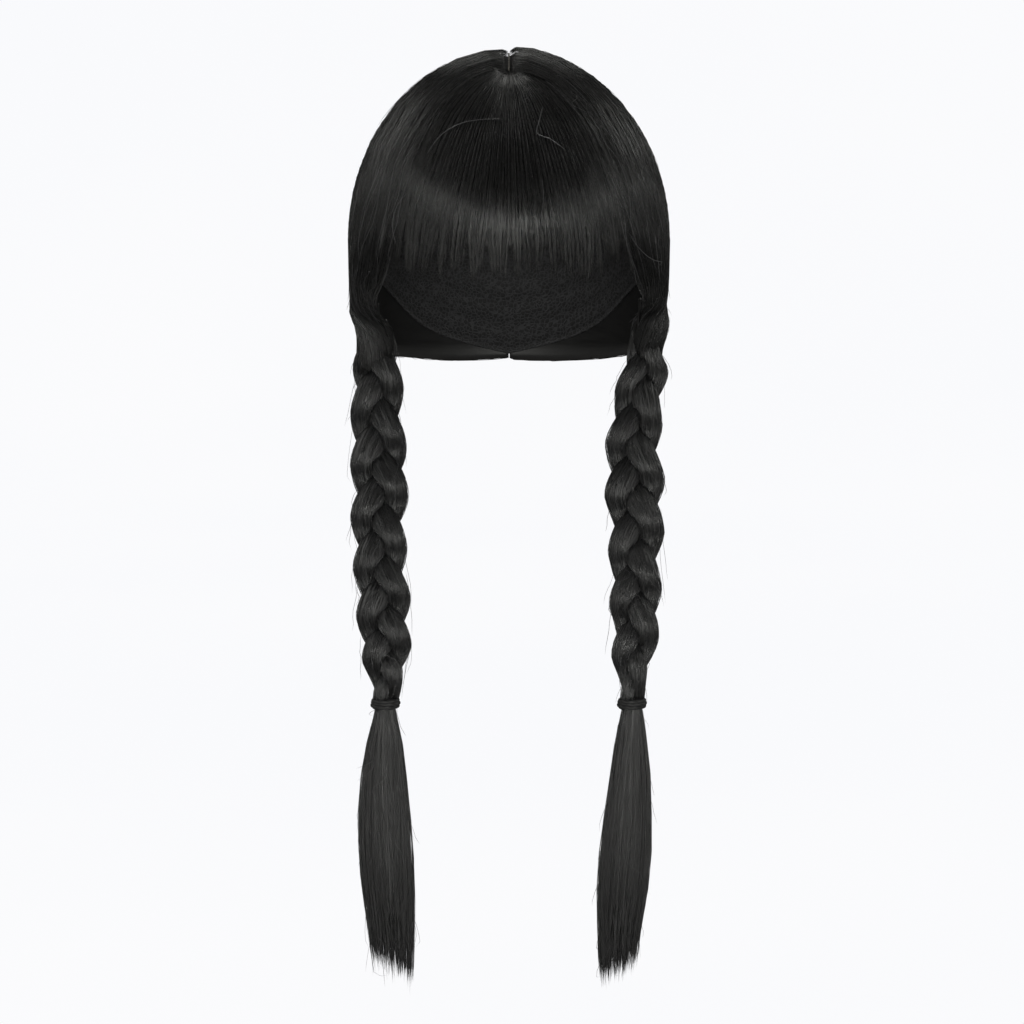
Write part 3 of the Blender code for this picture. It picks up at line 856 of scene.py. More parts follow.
class WigColours(bpy.types.PropertyGroup):
    """Colours of the finishes, as sRGB hex values."""

    hair_dark: bpy.props.StringProperty(
        name="Hair, dark", description="Darkest streaks of the hair", default="#0B0B0C")
    hair_light: bpy.props.StringProperty(
        name="Hair, light", description="Lightest streaks of the hair", default="#151515")
    # Braids and tails: the same black fibre in lighter shades, which paint their sheen into the colour
    plait_dark_painted_sheen: bpy.props.StringProperty(
        name="Plait, dark", description="Darkest streaks of braids and tails", default="#0F0F10")
    plait_light_painted_sheen: bpy.props.StringProperty(
        name="Plait, light", description="Lightest streaks of braids and tails", default="#2C2C2D")
    # Stray hairs: the same black fibre in pale shades, which paint in the light a single hair lets
    # through
    single_dark_painted_backlight: bpy.props.StringProperty(
        name="Stray hair, dark", description="Darkest streaks of stray hairs", default="#2E2E30")
    single_light_painted_backlight: bpy.props.StringProperty(
        name="Stray hair, light", description="Lightest streaks of stray hairs", default="#4A4A4C")
    net_dark: bpy.props.StringProperty(
        name="Cap net, gaps", description="Gaps between the cap's threads", default="#121213")
    net: bpy.props.StringProperty(
        name="Cap net", description="Threads of the cap", default="#2A2A2C")
    parting_dark: bpy.props.StringProperty(
        name="Parting, gaps", description="Gaps between the parting's threads", default="#45423E")
    parting: bpy.props.StringProperty(
        name="Parting", description="Threads of the parting strip", default="#75716A")
    # The dark shade of the elastic is painted shade, laid in the grooves between its threads
    elastic_groove_painted_shade: bpy.props.StringProperty(
        name="Elastic, dark", description="Grooves between the ties' threads", default="#0C0C0D")
    elastic: bpy.props.StringProperty(
        name="Elastic", description="Thread cover of the ties", default="#242425")
    floor: bpy.props.StringProperty(
        name="Floor", description="Background paper", default="#F8F9FC")
    floor_light: bpy.props.StringProperty(
        name="Floor, light", description="Lightest patches of the paper", default="#FCFCFD")


def hair_material(kind):
    """The finish of one kind of hair: its shades, its roughness and how much light it sends back."""
    colours = bpy.context.scene.wig_colours
    finishes = {
        "combed": ((colours.hair_dark, colours.hair_light), 0.29, 0.5),
        # Plaited and loose hair lies less evenly, so its sheen is wider; it is also drawn greyer than
        # combed hair, a sheen painted into lighter shades of the same black fibre
        "plaited": ((colours.plait_dark_painted_sheen, colours.plait_light_painted_sheen), 0.36, 0.85),
        # A single hair lets light through, so it looks paler than a mass; that light is painted into
        # paler shades of the same black fibre
        "single": ((colours.single_dark_painted_backlight, colours.single_light_painted_backlight), 0.35, 0.9),
    }
    name = f"Black heat-set modacrylic fibre, {kind}"
    return bpy.data.materials.get(name) or modacrylic_fibre(name, *finishes[kind])


def finish_piece(piece, slot, *nodes):
    """A finished piece rides on the wig and stands for its plain solids."""
    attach(piece, "root")
    if nodes:
        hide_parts(*nodes)


class WIG_OT_crown_hair(bpy.types.Operator):
    """Comb both halves of the crown hair from the part line to the braids"""

    bl_idname = "wig.crown_hair"
    bl_label = "Crown hair"

    def execute(self, context):
        sizes = context.scene.wig_sizes
        for side_name, sign in SIDES.items():
            random = np.random.default_rng(SEEDS["crown"] + sign)
            bundle = Bundle()
            outside, inside, across = crown_grids(side_name)
            outward = crown_outward(outside)
            self.add_backing(bundle, outside, inside, outward, across)
            self.add_combed(bundle, outside, outward, random, sizes)
            self.add_lining(bundle, outside, outward, random, sizes, side_name)
            piece = bundle.make(f"crown_hair_{side_name}_combed", hair_material("combed"))
            finish_piece(piece, "hair_fibre", f"crown_hair_{side_name}")
        self.add_part_strip()
        return {"FINISHED"}

    def add_part_strip(self):
        """The pale strip of net that shows between the roots of both halves."""
        directions = hair_directions(np.linspace(0, 0.98, 80), np.zeros(1))
        middle = on_layer(directions, HAIR_OUTSIDE - NOTCH_DEPTH - 0.5 * MM)[0]
        outward = hollow_outward(middle * np.array([0, 1, 1]))
        edges = np.linspace(-0.5, 0.5, 3)[None, :, None] * PART_STRIP_WIDTH * np.array([1, 0, 0])
        top = middle[:, None] * np.array([0, 1, 1]) + edges
        marks = np.zeros_like(top)
        bundle = Bundle()
        bundle.add_shell(top, top - outward[:, None] * 0.4 * MM, marks)
        colours = bpy.context.scene.wig_colours
        material = wig_net("Pale parting net", (colours.parting_dark, colours.parting))
        piece = bundle.make("part_strip", material)
        finish_piece(piece, "cap_net")

    def add_backing(self, bundle, outside, inside, outward, across):
        """The dense hair underneath: a closed shell a little inside the combed surface."""
        columns = np.linspace(np.argmax(across > 0.015), len(across) - 1, 51).round().astype(int)
        rows = np.arange(0, CROWN_ROWS - 6, 2)
        pick = np.ix_(rows, columns)
        near_part = 1 - smooth(np.abs(outside[..., :1]) / (12 * MM))
        outer = (outside - outward * (UNDER + 1.8 * MM * near_part))[pick]
        inner = inside[pick]
        run, place = grid_of(rows * 2 * MM, across[columns] * 0.2)
        marks = np.stack([place, run, np.full_like(run, UNDER_MARK)], axis=-1)
        bundle.add_shell(outer, inner, marks)

    def add_combed(self, bundle, outside, outward, random, sizes):
        """Strands that follow the guide locks in clumps and turn in over the top of the braid."""
        count = sizes.crown_strands
        share = eased_shares(16)
        # More strands where the guide locks lie further apart
        across = np.interp(random.random(count), (0, 0.2, 0.46, 0.7, 1), (-0.055, 0.25, 0.5, 0.75, 1))
        pull, out, _ = clumps_of(across, uneven_edges(random, ACROSS_FIRST, 1, CROWN_CLUMPS))
        rooted = random.random(count) < 0.55
        start = np.where(rooted, 0, random.uniform(0.02, 0.6, count))
        end = random.uniform(0.98, 1.0, count)
        along = start[:, None] + (end - start)[:, None] * share
        drift = wander(random, count, share) * 0.006
        place = across[:, None] + 0.35 * pull[:, None] * smooth(share / 0.5) + drift * smooth(share * 4)
        place = (place - ACROSS_FIRST) / (1 - ACROSS_FIRST)
        base = read_grid(outside, along, place)
        normal = unit(read_grid(outward, along, place))
        length = (end - start)[:, None] * 220 * MM
        run = share[None, :] * length
        dip = np.where(rooted, PART_DIP, START_DIP)[:, None] * (1 - smooth(run / (6 * MM)))
        lift = 0.3 - 0.75 * out ** 2 - 0.9 * random.random(count) ** 2
        lift = lift[:, None] + 0.07 * wander(random, count, share)
        # In the sleeve the strands lie level, in broader grooves
        level = smooth((along * SLEEVE_LAST - 0.82) / 0.14)
        lift = lift * (1 - 0.75 * level) + 0.35 * level * np.cos(math.tau * 9 * place) - dip
        shape = taper(share, 0.04, 0.06)
        paths = raised(base, normal, lift)
        lay_strands(bundle, random, paths, normal, sizes.strand_width, 0.6, 1.2, shape)

    def add_lining(self, bundle, outside, outward, random, sizes, side_name):
        """Strands on the inner side of the sleeve, from the neck edge down to the braid."""
        count = 120
        share = np.linspace(0, 1, 9)
        round_inside = random.uniform(0, 0.86, count)
        start_row = np.full(count, 0.78 / SLEEVE_LAST)
        start = read_grid(outside, start_row, round_inside) - 4 * MM * read_grid(
            outward, start_row, round_inside
        )
        heights = start[:, 2:] + (braid_top(side_name) - 8 * MM - start[:, 2:]) * share
        back_way = math.tau + SLEEVE_FROM - SLEEVE_TO
        around = SLEEVE_FROM - back_way * round_inside[:, None] + 0 * heights
        target = sleeve_points(side_name, around, heights, 0.4 * MM - 2 * MM * share ** 4)
        target[..., 0] *= SIDES[side_name]
        ease = smooth(share * 1.3)[None, :, None]
        paths = start[:, None] * (1 - ease) + target * ease
        paths[..., 2] = heights
        middle = np.stack([np.full(count, SIDES[side_name] * 72 * MM), np.full(count, 9 * MM)], axis=-1)
        normal = np.zeros_like(paths)
        normal[..., :2] = unit(paths[..., :2] - middle[:, None])
        shape = taper(share, 0.1, 0.1)
        lay_strands(bundle, random, paths, normal, sizes.strand_width, 0.8, 1.4, shape)


class WIG_OT_fringe(bpy.types.Operator):
    """Comb the fringe from the front of the part and cut it to an uneven hem"""

    bl_idname = "wig.fringe"
    bl_label = "Fringe"

    def execute(self, context):
        sizes = context.scene.wig_sizes
        random = np.random.default_rng(SEEDS["fringe"])
        bundle = Bundle()
        self.add_backing(bundle)
        self.add_combed(bundle, random, sizes)
        piece = bundle.make("fringe_cut", hair_material("combed"))
        finish_piece(piece, "hair_fibre", "fringe")
        return {"FINISHED"}

    def edge(self, along):
        """Directions of the fringe's edge on the wearer's left, which is the crown hair's edge."""
        fine = np.linspace(0, 1, 65)
        lock = hair_directions(np.array([0.0]), fine * FRINGE_SHARE)[:, 0]
        columns = [np.interp(along, fine, lock[:, i]) for i in range(3)]
        return np.stack(columns, axis=-1)

    def directions(self, place, along):
        """Directions of points of the fringe: place from -1 to 1 across it, along from 0 to 1."""
        edge = self.edge(along)
        top = direction_of(FRINGE_TOP)
        hem = direction_of((0, -HOLLOW_FRONT / MM, FRINGE_HEM / MM))
        top_angle = math.atan2(top[2], -top[1])
        angle = top_angle + along * (math.asin(hem[2]) - top_angle)
        spread = place ** 2
        return np.stack(
            [
                place * edge[..., 0],
                -np.cos(angle) * (1 - spread) + edge[..., 1] * spread,
                np.sin(angle) * (1 - spread) + edge[..., 2] * spread,
            ],
            axis=-1,
        )

    def surface(self, place, along):
        """The fringe's outer surface and the directions straight out of it."""
        thin = (np.maximum(along - 0.5, 0) / 0.5) ** 2
        root = NOTCH_DEPTH * (1 - smooth(along / 0.1))
        layer = (HAIR_OUTSIDE - root) * (1 - thin) + HEM_LAYER * thin
        points = on_layer(self.directions(place, np.minimum(along, 1)), layer)
        points[..., 2] -= np.maximum(along - 1, 0) * FRINGE_LENGTH
        return points, hollow_outward(points)

    def add_backing(self, bundle):
        """The dense hair underneath: a closed shell that ends above the cut tips."""
        along, place = grid_of(np.linspace(0.02, 0.91, 41), np.linspace(-1, 1, 81))
        points, outward = self.surface(place, along)
        outer = points - outward * (UNDER + 1.2 * MM * smooth((along - 0.7) / 0.2)[..., None])
        inner = on_layer(self.directions(place, along), np.full(along.shape, HAIR_INSIDE))
        marks = np.stack([place * 0.075, along * 0.12, np.full_like(along, UNDER_MARK)], axis=-1)
        bundle.add_shell(outer, inner, marks)

    def add_combed(self, bundle, random, sizes):
        """Strands that fan from the root and part into uneven slanting tufts at the hem."""
        count = sizes.fringe_strands
        share = eased_shares(12)
        across = random.uniform(-1.05, 1.05, count)
        tufts = uneven_edges(random, -FRINGE_WIDTH, FRINGE_WIDTH, TUFTS)
        pull, out, tuft = clumps_of(across, tufts)
        wisps = uneven_edges(random, -FRINGE_WIDTH, FRINGE_WIDTH, WISPS)
        part_pull, part_out, wisp = clumps_of(across, wisps)
        rooted = random.random(count) < 0.5
        start = np.where(rooted, 0, random.uniform(0.03, 0.6, count))
        # Lengths in millimetres past the even hem: by tuft, which is cut aslant, by wisp and by hair
        slant = random.normal(0, 2.2, TUFTS)[tuft] * out * np.sign(pull)
        hang = 2.4 + random.normal(0, 1.6, TUFTS)[tuft] + slant - 6 * out ** 4
        hang = hang + random.normal(0, 0.9, WISPS)[wisp] - 1.4 * part_out ** 2
        hang = hang + random.normal(0, 0.7, count)
        hang = np.where(random.random(count) < 0.05, hang + random.uniform(0, 3, count), hang)
        end = 1 + hang * MM / FRINGE_LENGTH
        along = start[:, None] + (end - start)[:, None] * share
        tip = smooth((along - 0.78) / 0.25)
        lean = random.normal(0, 0.02, TUFTS)[tuft][:, None] * tip
        drift = wander(random, count, share) * 0.006 * smooth(share * 3)
        place = across[:, None] + (0.3 * pull + 0.45 * part_pull)[:, None] * tip + lean + drift
        place = place + 0.12 * part_pull[:, None] * smooth(along / 0.5)
        points, normal = self.surface(place, along)
        from_start = share * (end - start)[:, None] * 120
        rise = (random.uniform(4, 13, WISPS)[wisp] * random.uniform(0.7, 1.2, count))[:, None]
        depth = random.uniform(0.3, 1.3, WISPS)[wisp] + 0.8 * part_out ** 2
        sunk = np.where(rooted, depth, START_DIP)[:, None] * (1 - smooth(from_start / rise))
        lift = 0.3 - 0.9 * part_out ** 2 - 0.8 * random.random(count) ** 2
        lift = lift[:, None] + 0.06 * wander(random, count, share) - sunk
        lift = lift - tip * (0.5 * random.random(count) + 1.2 * out ** 2)[:, None]
        shape = taper(share, 0.05, 0.14, 0.15)
        paths = raised(points, normal, lift)
        lay_strands(bundle, random, paths, normal, sizes.strand_width, 0.6, 1.15, shape)


class WIG_OT_braids(bpy.types.Operator):
    """Plait three combed locks on each side"""

    bl_idname = "wig.braids"
    bl_label = "Braids"

    def execute(self, context):
        sizes = context.scene.wig_sizes
        for side_name, sign in SIDES.items():
            for lock in range(LOCK_COUNT):
                random = np.random.default_rng(SEEDS["braids"] + 10 * sign + lock)
                bundle = Bundle()
                self.add_lock(bundle, side_name, lock)
                self.add_combed(bundle, side_name, lock, random, sizes)
                node = f"braid_{side_name}_lock_{lock + 1}"
                piece = bundle.make(f"{node}_combed", hair_material("plaited"))
                finish_piece(piece, "hair_fibre", node)
        return {"FINISHED"}

    def lock_middles(self, side_name, heights):
        """Middles of the three locks at each height, as they cross over one another."""
        braid = BRAIDS[side_name]
        step = braid["notch step"]
        loss = braid["step loss"]
        fall = braid["first notch"] - heights
        notches = (step - np.sqrt(step * step - 4 * loss * fall)) / (2 * loss)
        turn = OUTER_NOTCH + math.tau / LOCK_COUNT * notches
        half_width = table(braid, "half width", heights / MM) * MM
        middle_side, middle_depth = braid_middle(side_name, heights)
        middles = []
        for lock in range(LOCK_COUNT):
            phase = turn + math.tau * lock / LOCK_COUNT
            swing = half_width * SWING_SHARE * np.sin(phase)
            cross = -half_width * CROSS_SHARE * np.tanh(CROSS_SHARPNESS * np.sin(2 * phase))
            cross = cross / math.tanh(CROSS_SHARPNESS)
            side = swing * math.cos(braid["turn"]) + cross * math.sin(braid["turn"])
            depth = cross * math.cos(braid["turn"]) - swing * math.sin(braid["turn"])
            middles.append(
                np.stack([middle_side + side * SIDES[side_name], middle_depth + depth], axis=-1)
            )
        return np.array(middles), half_width

    def lock_points(self, side_name, lock, heights, around):
        """Points of a lock's surface at heights (rows) and turns round it, and its middle there."""
        middles, half_width = self.lock_middles(side_name, heights)
        own = middles[lock]
        half_side = half_width[:, None] * (1 - SWING_SHARE)
        half_depth = half_width[:, None] * LOCK_DEPTH_SHARE
        reach = 1 / np.sqrt((np.cos(around) / half_side) ** 2 + (np.sin(around) / half_depth) ** 2)
        for other in range(LOCK_COUNT):
            if other == lock:
                continue
            apart = middles[other] - own
            room = (np.linalg.norm(apart, axis=1) - 0.3 * MM) / 2
            facing = unit(apart)
            towards = facing[:, :1] * np.cos(around) + facing[:, 1:] * np.sin(around)
            limit = room[:, None] / np.maximum(towards, 0.001)
            reach = np.where(towards > 0.001, np.minimum(reach, limit), reach)
        side = own[:, :1] + reach * np.cos(around)
        depth = own[:, 1:] + reach * np.sin(around)
        height = np.broadcast_to(heights[:, None], side.shape)
        return np.stack([side, depth, height], axis=-1), own

    def heights(self, side_name, count):
        """Heights down a braid, from inside the crown hair to inside the tie."""
        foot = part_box(f"braid_{side_name}_lock_1")[0].z
        above, below = LOCK_ENDS
        return np.linspace(braid_top(side_name) + above, foot - below, count)

    def add_lock(self, bundle, side_name, lock):
        """The dense hair inside the lock, a little below its combed surface."""
        rows, columns = 120, 32
        heights = self.heights(side_name, rows)
        run, around = grid_of(heights, np.linspace(0, math.tau, columns, endpoint=False))
        points, own = self.lock_points(side_name, lock, heights, around)
        middle = np.concatenate([own, heights[:, None]], axis=1)[:, None]
        points = points - unit((points - middle) * np.array([1, 1, 0])) * LOCK_SINK
        marks = np.stack([around * 9 * MM, -run * 1.3, np.full_like(run, UNDER_MARK)], axis=-1)
        bundle.add_tube(points, marks)

    def add_combed(self, bundle, side_name, lock, random, sizes):
        """Fine strands along the lock, sunk into it at both ends, where they can be seen."""
        count = sizes.lock_strands
        candidates = count * 4
        share = np.linspace(0, 1, 9)
        heights = self.heights(side_name, 400)
        turns = grid_of(heights, np.linspace(0, math.tau, 97))[1]
        surface, own = self.lock_points(side_name, lock, heights, turns)
        middles = np.concatenate([own, heights[:, None]], axis=1)[:, None].repeat(2, 1)
        middle_side, middle_depth = braid_middle(side_name, heights)
        braid = np.stack([middle_side, middle_depth, heights], axis=-1)[:, None].repeat(2, 1)
        length = random.uniform(0.1, 0.2, candidates)
        start = random.uniform(-0.04, 0.96, candidates)
        along = np.clip(start[:, None] + length[:, None] * share, 0, 1)
        turn = np.mod(random.uniform(0, 1, candidates)[:, None]
                      + wander(random, candidates, share) * 0.012, 1)
        paths = read_grid(surface, along, turn)
        zero = np.zeros_like(along)
        normal = unit((paths - read_grid(middles, along, zero)) * np.array([1, 1, 0]))
        half_width = table(BRAIDS[side_name], "half width", paths[..., 2] / MM) * MM
        shown = np.sum(normal * (paths - read_grid(braid, along, zero)), axis=-1) / half_width
        keep = np.flatnonzero(shown.mean(axis=1) > 0.25)[:count]
        paths, normal = paths[keep], normal[keep]
        sunk = 1 - smooth(share / 0.15) * smooth((1 - share) / 0.15)
        count = len(keep)
        lift = 0.1 - 0.5 * random.random(count)[:, None] - 1.1 * sunk
        shape = taper(share, 0.12, 0.12, 0.4)
        paths = raised(paths, normal, lift)
        lay_strands(bundle, random, paths, normal, sizes.strand_width, 0.7, 1.2, shape)


class WIG_OT_ties(bpy.types.Operator):
    """Wind an elastic cord round the foot of each braid"""

    bl_idname = "wig.ties"
    bl_label = "Ties"

    def execute(self, context):
        sizes = context.scene.wig_sizes
        colours = context.scene.wig_colours
        shades = (colours.elastic_groove_painted_shade, colours.elastic)
        material = covered_elastic("Black thread-covered elastic cord", shades)
        for side_name in SIDES:
            low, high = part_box(f"tie_{side_name}")
            bundle = Bundle()
            self.add_windings(bundle, low, high, sizes.cord_radius)
            piece = bundle.make(f"tie_{side_name}_wound", material)
            finish_piece(piece, "tie_elastic", f"tie_{side_name}")
        return {"FINISHED"}

    def add_windings(self, bundle, low, high, radius):
        """Three turns of the cord, each a little out of line with the next, its ends tucked in."""
        rows, columns = 260, 10
        share = np.linspace(0, 1, rows)
        angle = share * TIE_TURNS * math.tau + TIE_START
        ring = (high.x - low.x) / 2 - radius
        tucked = smooth(1 - share * 12) + smooth(1 - (1 - share) * 12)
        reach = ring + 0.25 * MM * np.sin(angle * 0.5 + 1) - TIE_TUCK * tucked
        drop = (high.z - low.z - 2 * radius) * (0.5 - smooth(share * 0.9 + 0.05))
        height = (low.z + high.z) / 2 + drop + 0.3 * MM * np.sin(angle + 0.7)
        path = np.stack([
            (low.x + high.x) / 2 + reach * np.cos(angle),
            (low.y + high.y) / 2 + reach * np.sin(angle),
            height,
        ], axis=-1)
        along = unit(np.gradient(path, axis=0))
        side = unit(np.cross(along, np.array([0, 0, 1.0])))
        up = np.cross(side, along)
        around = np.linspace(0, math.tau, columns, endpoint=False)
        ring_points = path[:, None] + radius * (
            side[:, None] * np.cos(around)[:, None] + up[:, None] * np.sin(around)[:, None]
        )
        run = np.broadcast_to(angle[:, None] * ring, (rows, columns))
        place = np.broadcast_to(around * radius, (rows, columns))
        marks = np.stack([place, run, np.zeros_like(run)], axis=-1)
        bundle.add_tube(ring_points, marks)


class WIG_OT_tails(bpy.types.Operator):
    """Hang the loose hair below each tie, with ragged ends"""

    bl_idname = "wig.tails"
    bl_label = "Tails"

    def execute(self, context):
        sizes = context.scene.wig_sizes
        for side_name, sign in SIDES.items():
            random = np.random.default_rng(SEEDS["tails"] + sign)
            bundle = Bundle()
            self.add_backing(bundle, side_name)
            self.add_combed(bundle, side_name, sign, random, sizes)
            piece = bundle.make(f"tail_{side_name}_loose", hair_material("plaited"))
            finish_piece(piece, "hair_fibre", f"tail_{side_name}")
        return {"FINISHED"}

    def section(self, side_name, height):
        """Middle, half width and half depth of a tail at heights."""
        columns = TAILS[side_name]
        half_width = table(columns, "half width", height / MM) * MM
        side = SIDES[side_name] * table(columns, "side", height / MM) * MM
        flat = smooth((half_width - NECK_RADIUS) / (4 * MM))
        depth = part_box(f"tie_{side_name}")
        middle = np.stack([side, np.full_like(side, (depth[0].y + depth[1].y) / 2)], axis=-1)
        return middle, half_width, half_width * (1 + (TAIL_DEPTH_SHARE - 1) * flat)

    def add_backing(self, bundle, side_name):
        """The dense middle of the sheaf, grooved along it."""
        rows, columns = 70, 60
        heights = np.linspace(TAIL_CORE[0] * MM, TAIL_CORE[1] * MM, rows)
        middle, half_width, half_depth = self.section(side_name, heights)
        around = np.linspace(0, math.tau, columns, endpoint=False)
        grooves = 1 + 0.03 * np.cos(13 * around + 1) + 0.02 * np.cos(21 * around)
        shrink = 0.9 * (1 - 0.35 * smooth((np.arange(rows) / rows - 0.75) / 0.25))[:, None]
        side = middle[:, :1] + half_width[:, None] * np.cos(around) * grooves * shrink
        depth = middle[:, 1:] + half_depth[:, None] * np.sin(around) * grooves * shrink
        height = np.broadcast_to(heights[:, None], side.shape)
        points = np.stack([side, depth, height], axis=-1)
        place = np.broadcast_to(around * 9 * MM, side.shape)
        marks = np.stack([place, -height, np.full_like(height, UNDER_MARK)], axis=-1)
        bundle.add_tube(points, marks)

    def add_combed(self, bundle, side_name, sign, random, sizes):
        """Strands from the tie to the uneven cut ends, a little aslant from side to side."""
        count = sizes.tail_strands
        share = eased_shares(12)
        turn = random.uniform(0, math.tau, count)
        wisp = random.integers(0, TAIL_WISPS, count)
        wisp_turn = random.uniform(0, math.tau, TAIL_WISPS)[wisp]
        pull = np.angle(np.exp(1j * (wisp_turn - turn)))
        pull = np.where(np.abs(pull) < 0.6, pull, 0)
        depth_in = 1.02 - random.uniform(0, 1, count) ** 1.6 * 0.3
        end = TAIL_CUT + 4.5 * sign * np.cos(turn) + random.normal(0, 2.6, count)
        end = end + random.normal(0, 2.4, TAIL_WISPS)[wisp]
        end = end - np.where(random.random(count) < 0.08, random.uniform(2, 7, count), 0)
        end = np.maximum(end, TAIL_LOWEST)
        rooted = random.random(count) < 0.6
        start = np.where(rooted, TAIL_ROOT, random.uniform(TAIL_LAST_START, TAIL_ROOT, count))
        height = (start[:, None] + (end - start)[:, None] * share) * MM
        turn = turn[:, None] + wander(random, count, share) * 0.07 + 0.4 * pull[:, None] * share ** 3
        middle, half_width, half_depth = self.section(side_name, height)
        reach = depth_in[:, None] * (1 + 0.035 * wander(random, count, share) * smooth(share * 2))
        reach = reach - 0.12 * (1 - smooth(share * 8)) * (start > TAIL_ROOT - 1)[:, None]
        side = middle[..., 0] + half_width * np.cos(turn) * reach
        depth = middle[..., 1] + half_depth * np.sin(turn) * reach
        paths = np.stack([side, depth, height], axis=-1)
        normal = unit(paths - np.concatenate([middle, height[..., None]], axis=-1))
        shape = taper(share, 0.05, 0.1, 0.15)
        lay_strands(bundle, random, paths, normal, sizes.strand_width, 0.6, 1.1, shape)


class WIG_OT_cap(bpy.types.Operator):
    """Knit the cap and sew rows of weft inside it"""

    bl_idname = "wig.cap"
    bl_label = "Cap"

    def execute(self, context):
        colours = context.scene.wig_colours
        material = wig_net("Black knitted nylon net", (colours.net_dark, colours.net))
        bundle = Bundle()
        self.add_wall(bundle)
        piece = bundle.make("cap_net", material)
        finish_piece(piece, "cap_net", "cap")
        return {"FINISHED"}

    def rim_direction(self, angle):
        """Directions of the cap's rim at angles round from the forehead."""
        turn = np.degrees(np.abs(np.remainder(angle + math.pi, math.tau) - math.pi))
        height = table(CAP_RIM, "height", turn - 8 * (turn / 180) ** 6, "angle") * MM
        level = np.stack([np.sin(angle), -np.cos(angle)], axis=-1)
        rise = (height + HOLLOW_CROWN) / HOLLOW_CROWN
        upper = rise >= 0
        flat = np.where(upper, np.sqrt(np.clip(1 - rise * rise, 0, 1)), np.cos(rise))
        return np.concatenate(
            [level * flat[..., None], np.where(upper, rise, np.sin(rise))[..., None]], axis=-1
        )

    def add_wall(self, bundle):
        """The dome from its crown to its rim, with a ridge inside for each sewn row of hair."""
        columns, rows = 96, 61
        angle = np.linspace(0, math.tau, columns, endpoint=False)
        rim = self.rim_direction(angle)
        fall = np.arccos(rim[:, 2])[None, :] * np.linspace(0.01, 1, rows)[:, None]
        level = unit(rim[:, :2])[None] * np.sin(fall)[..., None]
        directions = np.concatenate([level, np.cos(fall)[..., None]], axis=-1)
        outer = on_layer(directions, np.full(fall.shape, CAP_WALL))
        weft = np.arange(rows)[:, None] % 4 == 0
        inner = on_layer(directions, np.where(weft, 0, WEFT_RIDGE) + 0 * fall)
        run, place = grid_of(np.linspace(0, 0.3, 2 * rows), angle * 80 * MM)
        sewn = np.concatenate([0 * weft, weft[::-1]]) + np.zeros((1, columns))
        marks = np.stack([place, run, sewn], axis=-1)
        bundle.add_tube(np.concatenate([outer, inner[::-1]]), marks)


class WIG_OT_strays(bpy.types.Operator):
    """Let a few loose single hairs stand off the crown, the braids and the tails"""

    bl_idname = "wig.strays"
    bl_label = "Stray hairs"

    def execute(self, context):
        sizes = context.scene.wig_sizes
        random = np.random.default_rng(SEEDS["strays"])
        bundle = Bundle()
        for side_name in SIDES:
            self.add_from_crown(bundle, random, sizes.stray_strands // 4, side_name)
            self.add_from_braid(bundle, random, sizes.stray_strands // 4, side_name)
        self.add_over_fringe(bundle, random)
        piece = bundle.make("stray_hairs", hair_material("single"))
        finish_piece(piece, "hair_fibre")
        return {"FINISHED"}

    def add_from_crown(self, bundle, random, count, side_name):
        """Hairs that follow the combing and then lift off it."""
        outside = crown_grids(side_name)[0]
        outward = crown_outward(outside)
        share = np.linspace(0, 1, 9)
        start = random.uniform(0.1, 0.8, count)
        along = start[:, None] + random.uniform(0.08, 0.25, count)[:, None] * share
        place = random.uniform(0, 1, count) ** 1.6
        place = place[:, None] + 0.03 * wander(random, count, share)
        base = read_grid(outside, along, place)
        normal = unit(read_grid(outward, along, place))
        lift = random.uniform(0.3, 2.4, count)[:, None] * share ** 2 + 0.3 * (1 - share)
        self.add_hairs(bundle, random, raised(base, normal, lift), normal)

    def add_over_fringe(self, bundle, random):
        """The loose hairs of the table, which lie a little above the front hair."""
        flat = curve_through(np.array(LOOSE_HAIRS).transpose(1, 0, 2), np.linspace(0, 1, 15)) * MM
        side, height = flat.transpose(2, 1, 0)
        half_side, half_depth = hollow_sizes(height, HAIR_OUTSIDE + 0.9 * MM, False)
        rise = np.clip((height + HOLLOW_CROWN) / (HOLLOW_CROWN + HAIR_OUTSIDE), 0, 1)
        depth = -half_depth * np.sqrt(np.clip(1 - rise ** 2 - (side / half_side) ** 2, 0, 1))
        paths = np.stack([side, depth, height], axis=-1)
        self.add_hairs(bundle, random, paths, hollow_outward(paths), 2)

    def add_from_braid(self, bundle, random, count, side_name):
        """Short hairs that stand off a braid and its tail, mostly downwards."""
        share = np.linspace(0, 1, 9)
        top = random.uniform(-455 * MM, -135 * MM, count)
        heights = top[:, None] - random.uniform(12, 40, count)[:, None] * MM * share
        heights = np.maximum(heights, -476 * MM)
        turn = random.uniform(0, math.tau, count)[:, None] + 0.5 * wander(random, count, share)
        side, depth = braid_middle(side_name, heights)
        reach = table(BRAIDS[side_name], "half width", heights / MM) * MM
        tail = heights < -332 * MM
        tail_reach = table(TAILS[side_name], "half width", heights / MM) * MM
        tail_side = SIDES[side_name] * table(TAILS[side_name], "side", heights / MM) * MM
        side = np.where(tail, tail_side, side)
        reach = np.where(tail, tail_reach, reach)
        lift = random.uniform(0.5, 4.5, count)[:, None] * share ** 1.7 - 1.5 * (1 - share) ** 2
        reach = reach + lift * MM
        out = np.stack([np.cos(turn), BUNCH_DEPTH_SHARE * np.sin(turn)], axis=-1)
        paths = np.stack(
            [side + reach * out[..., 0], depth + reach * out[..., 1], heights], axis=-1
        )
        normal = unit(np.concatenate([out, np.zeros_like(heights)[..., None]], axis=-1))
        self.add_hairs(bundle, random, paths, normal)

    def add_hairs(self, bundle, random, paths, normal, thicker=1):
        """Single hairs, drawn two to six times as thick as they are so that they show."""
        count, length = paths.shape[:2]
        widths = thicker * random.uniform(0.16, 0.26, count)[:, None] * MM * taper(
            np.linspace(0, 1, length), 0.1, 0.2)[None, :]
        bundle.add_strands(paths, normal, widths, random.uniform(0, 1, count), flatness=1)


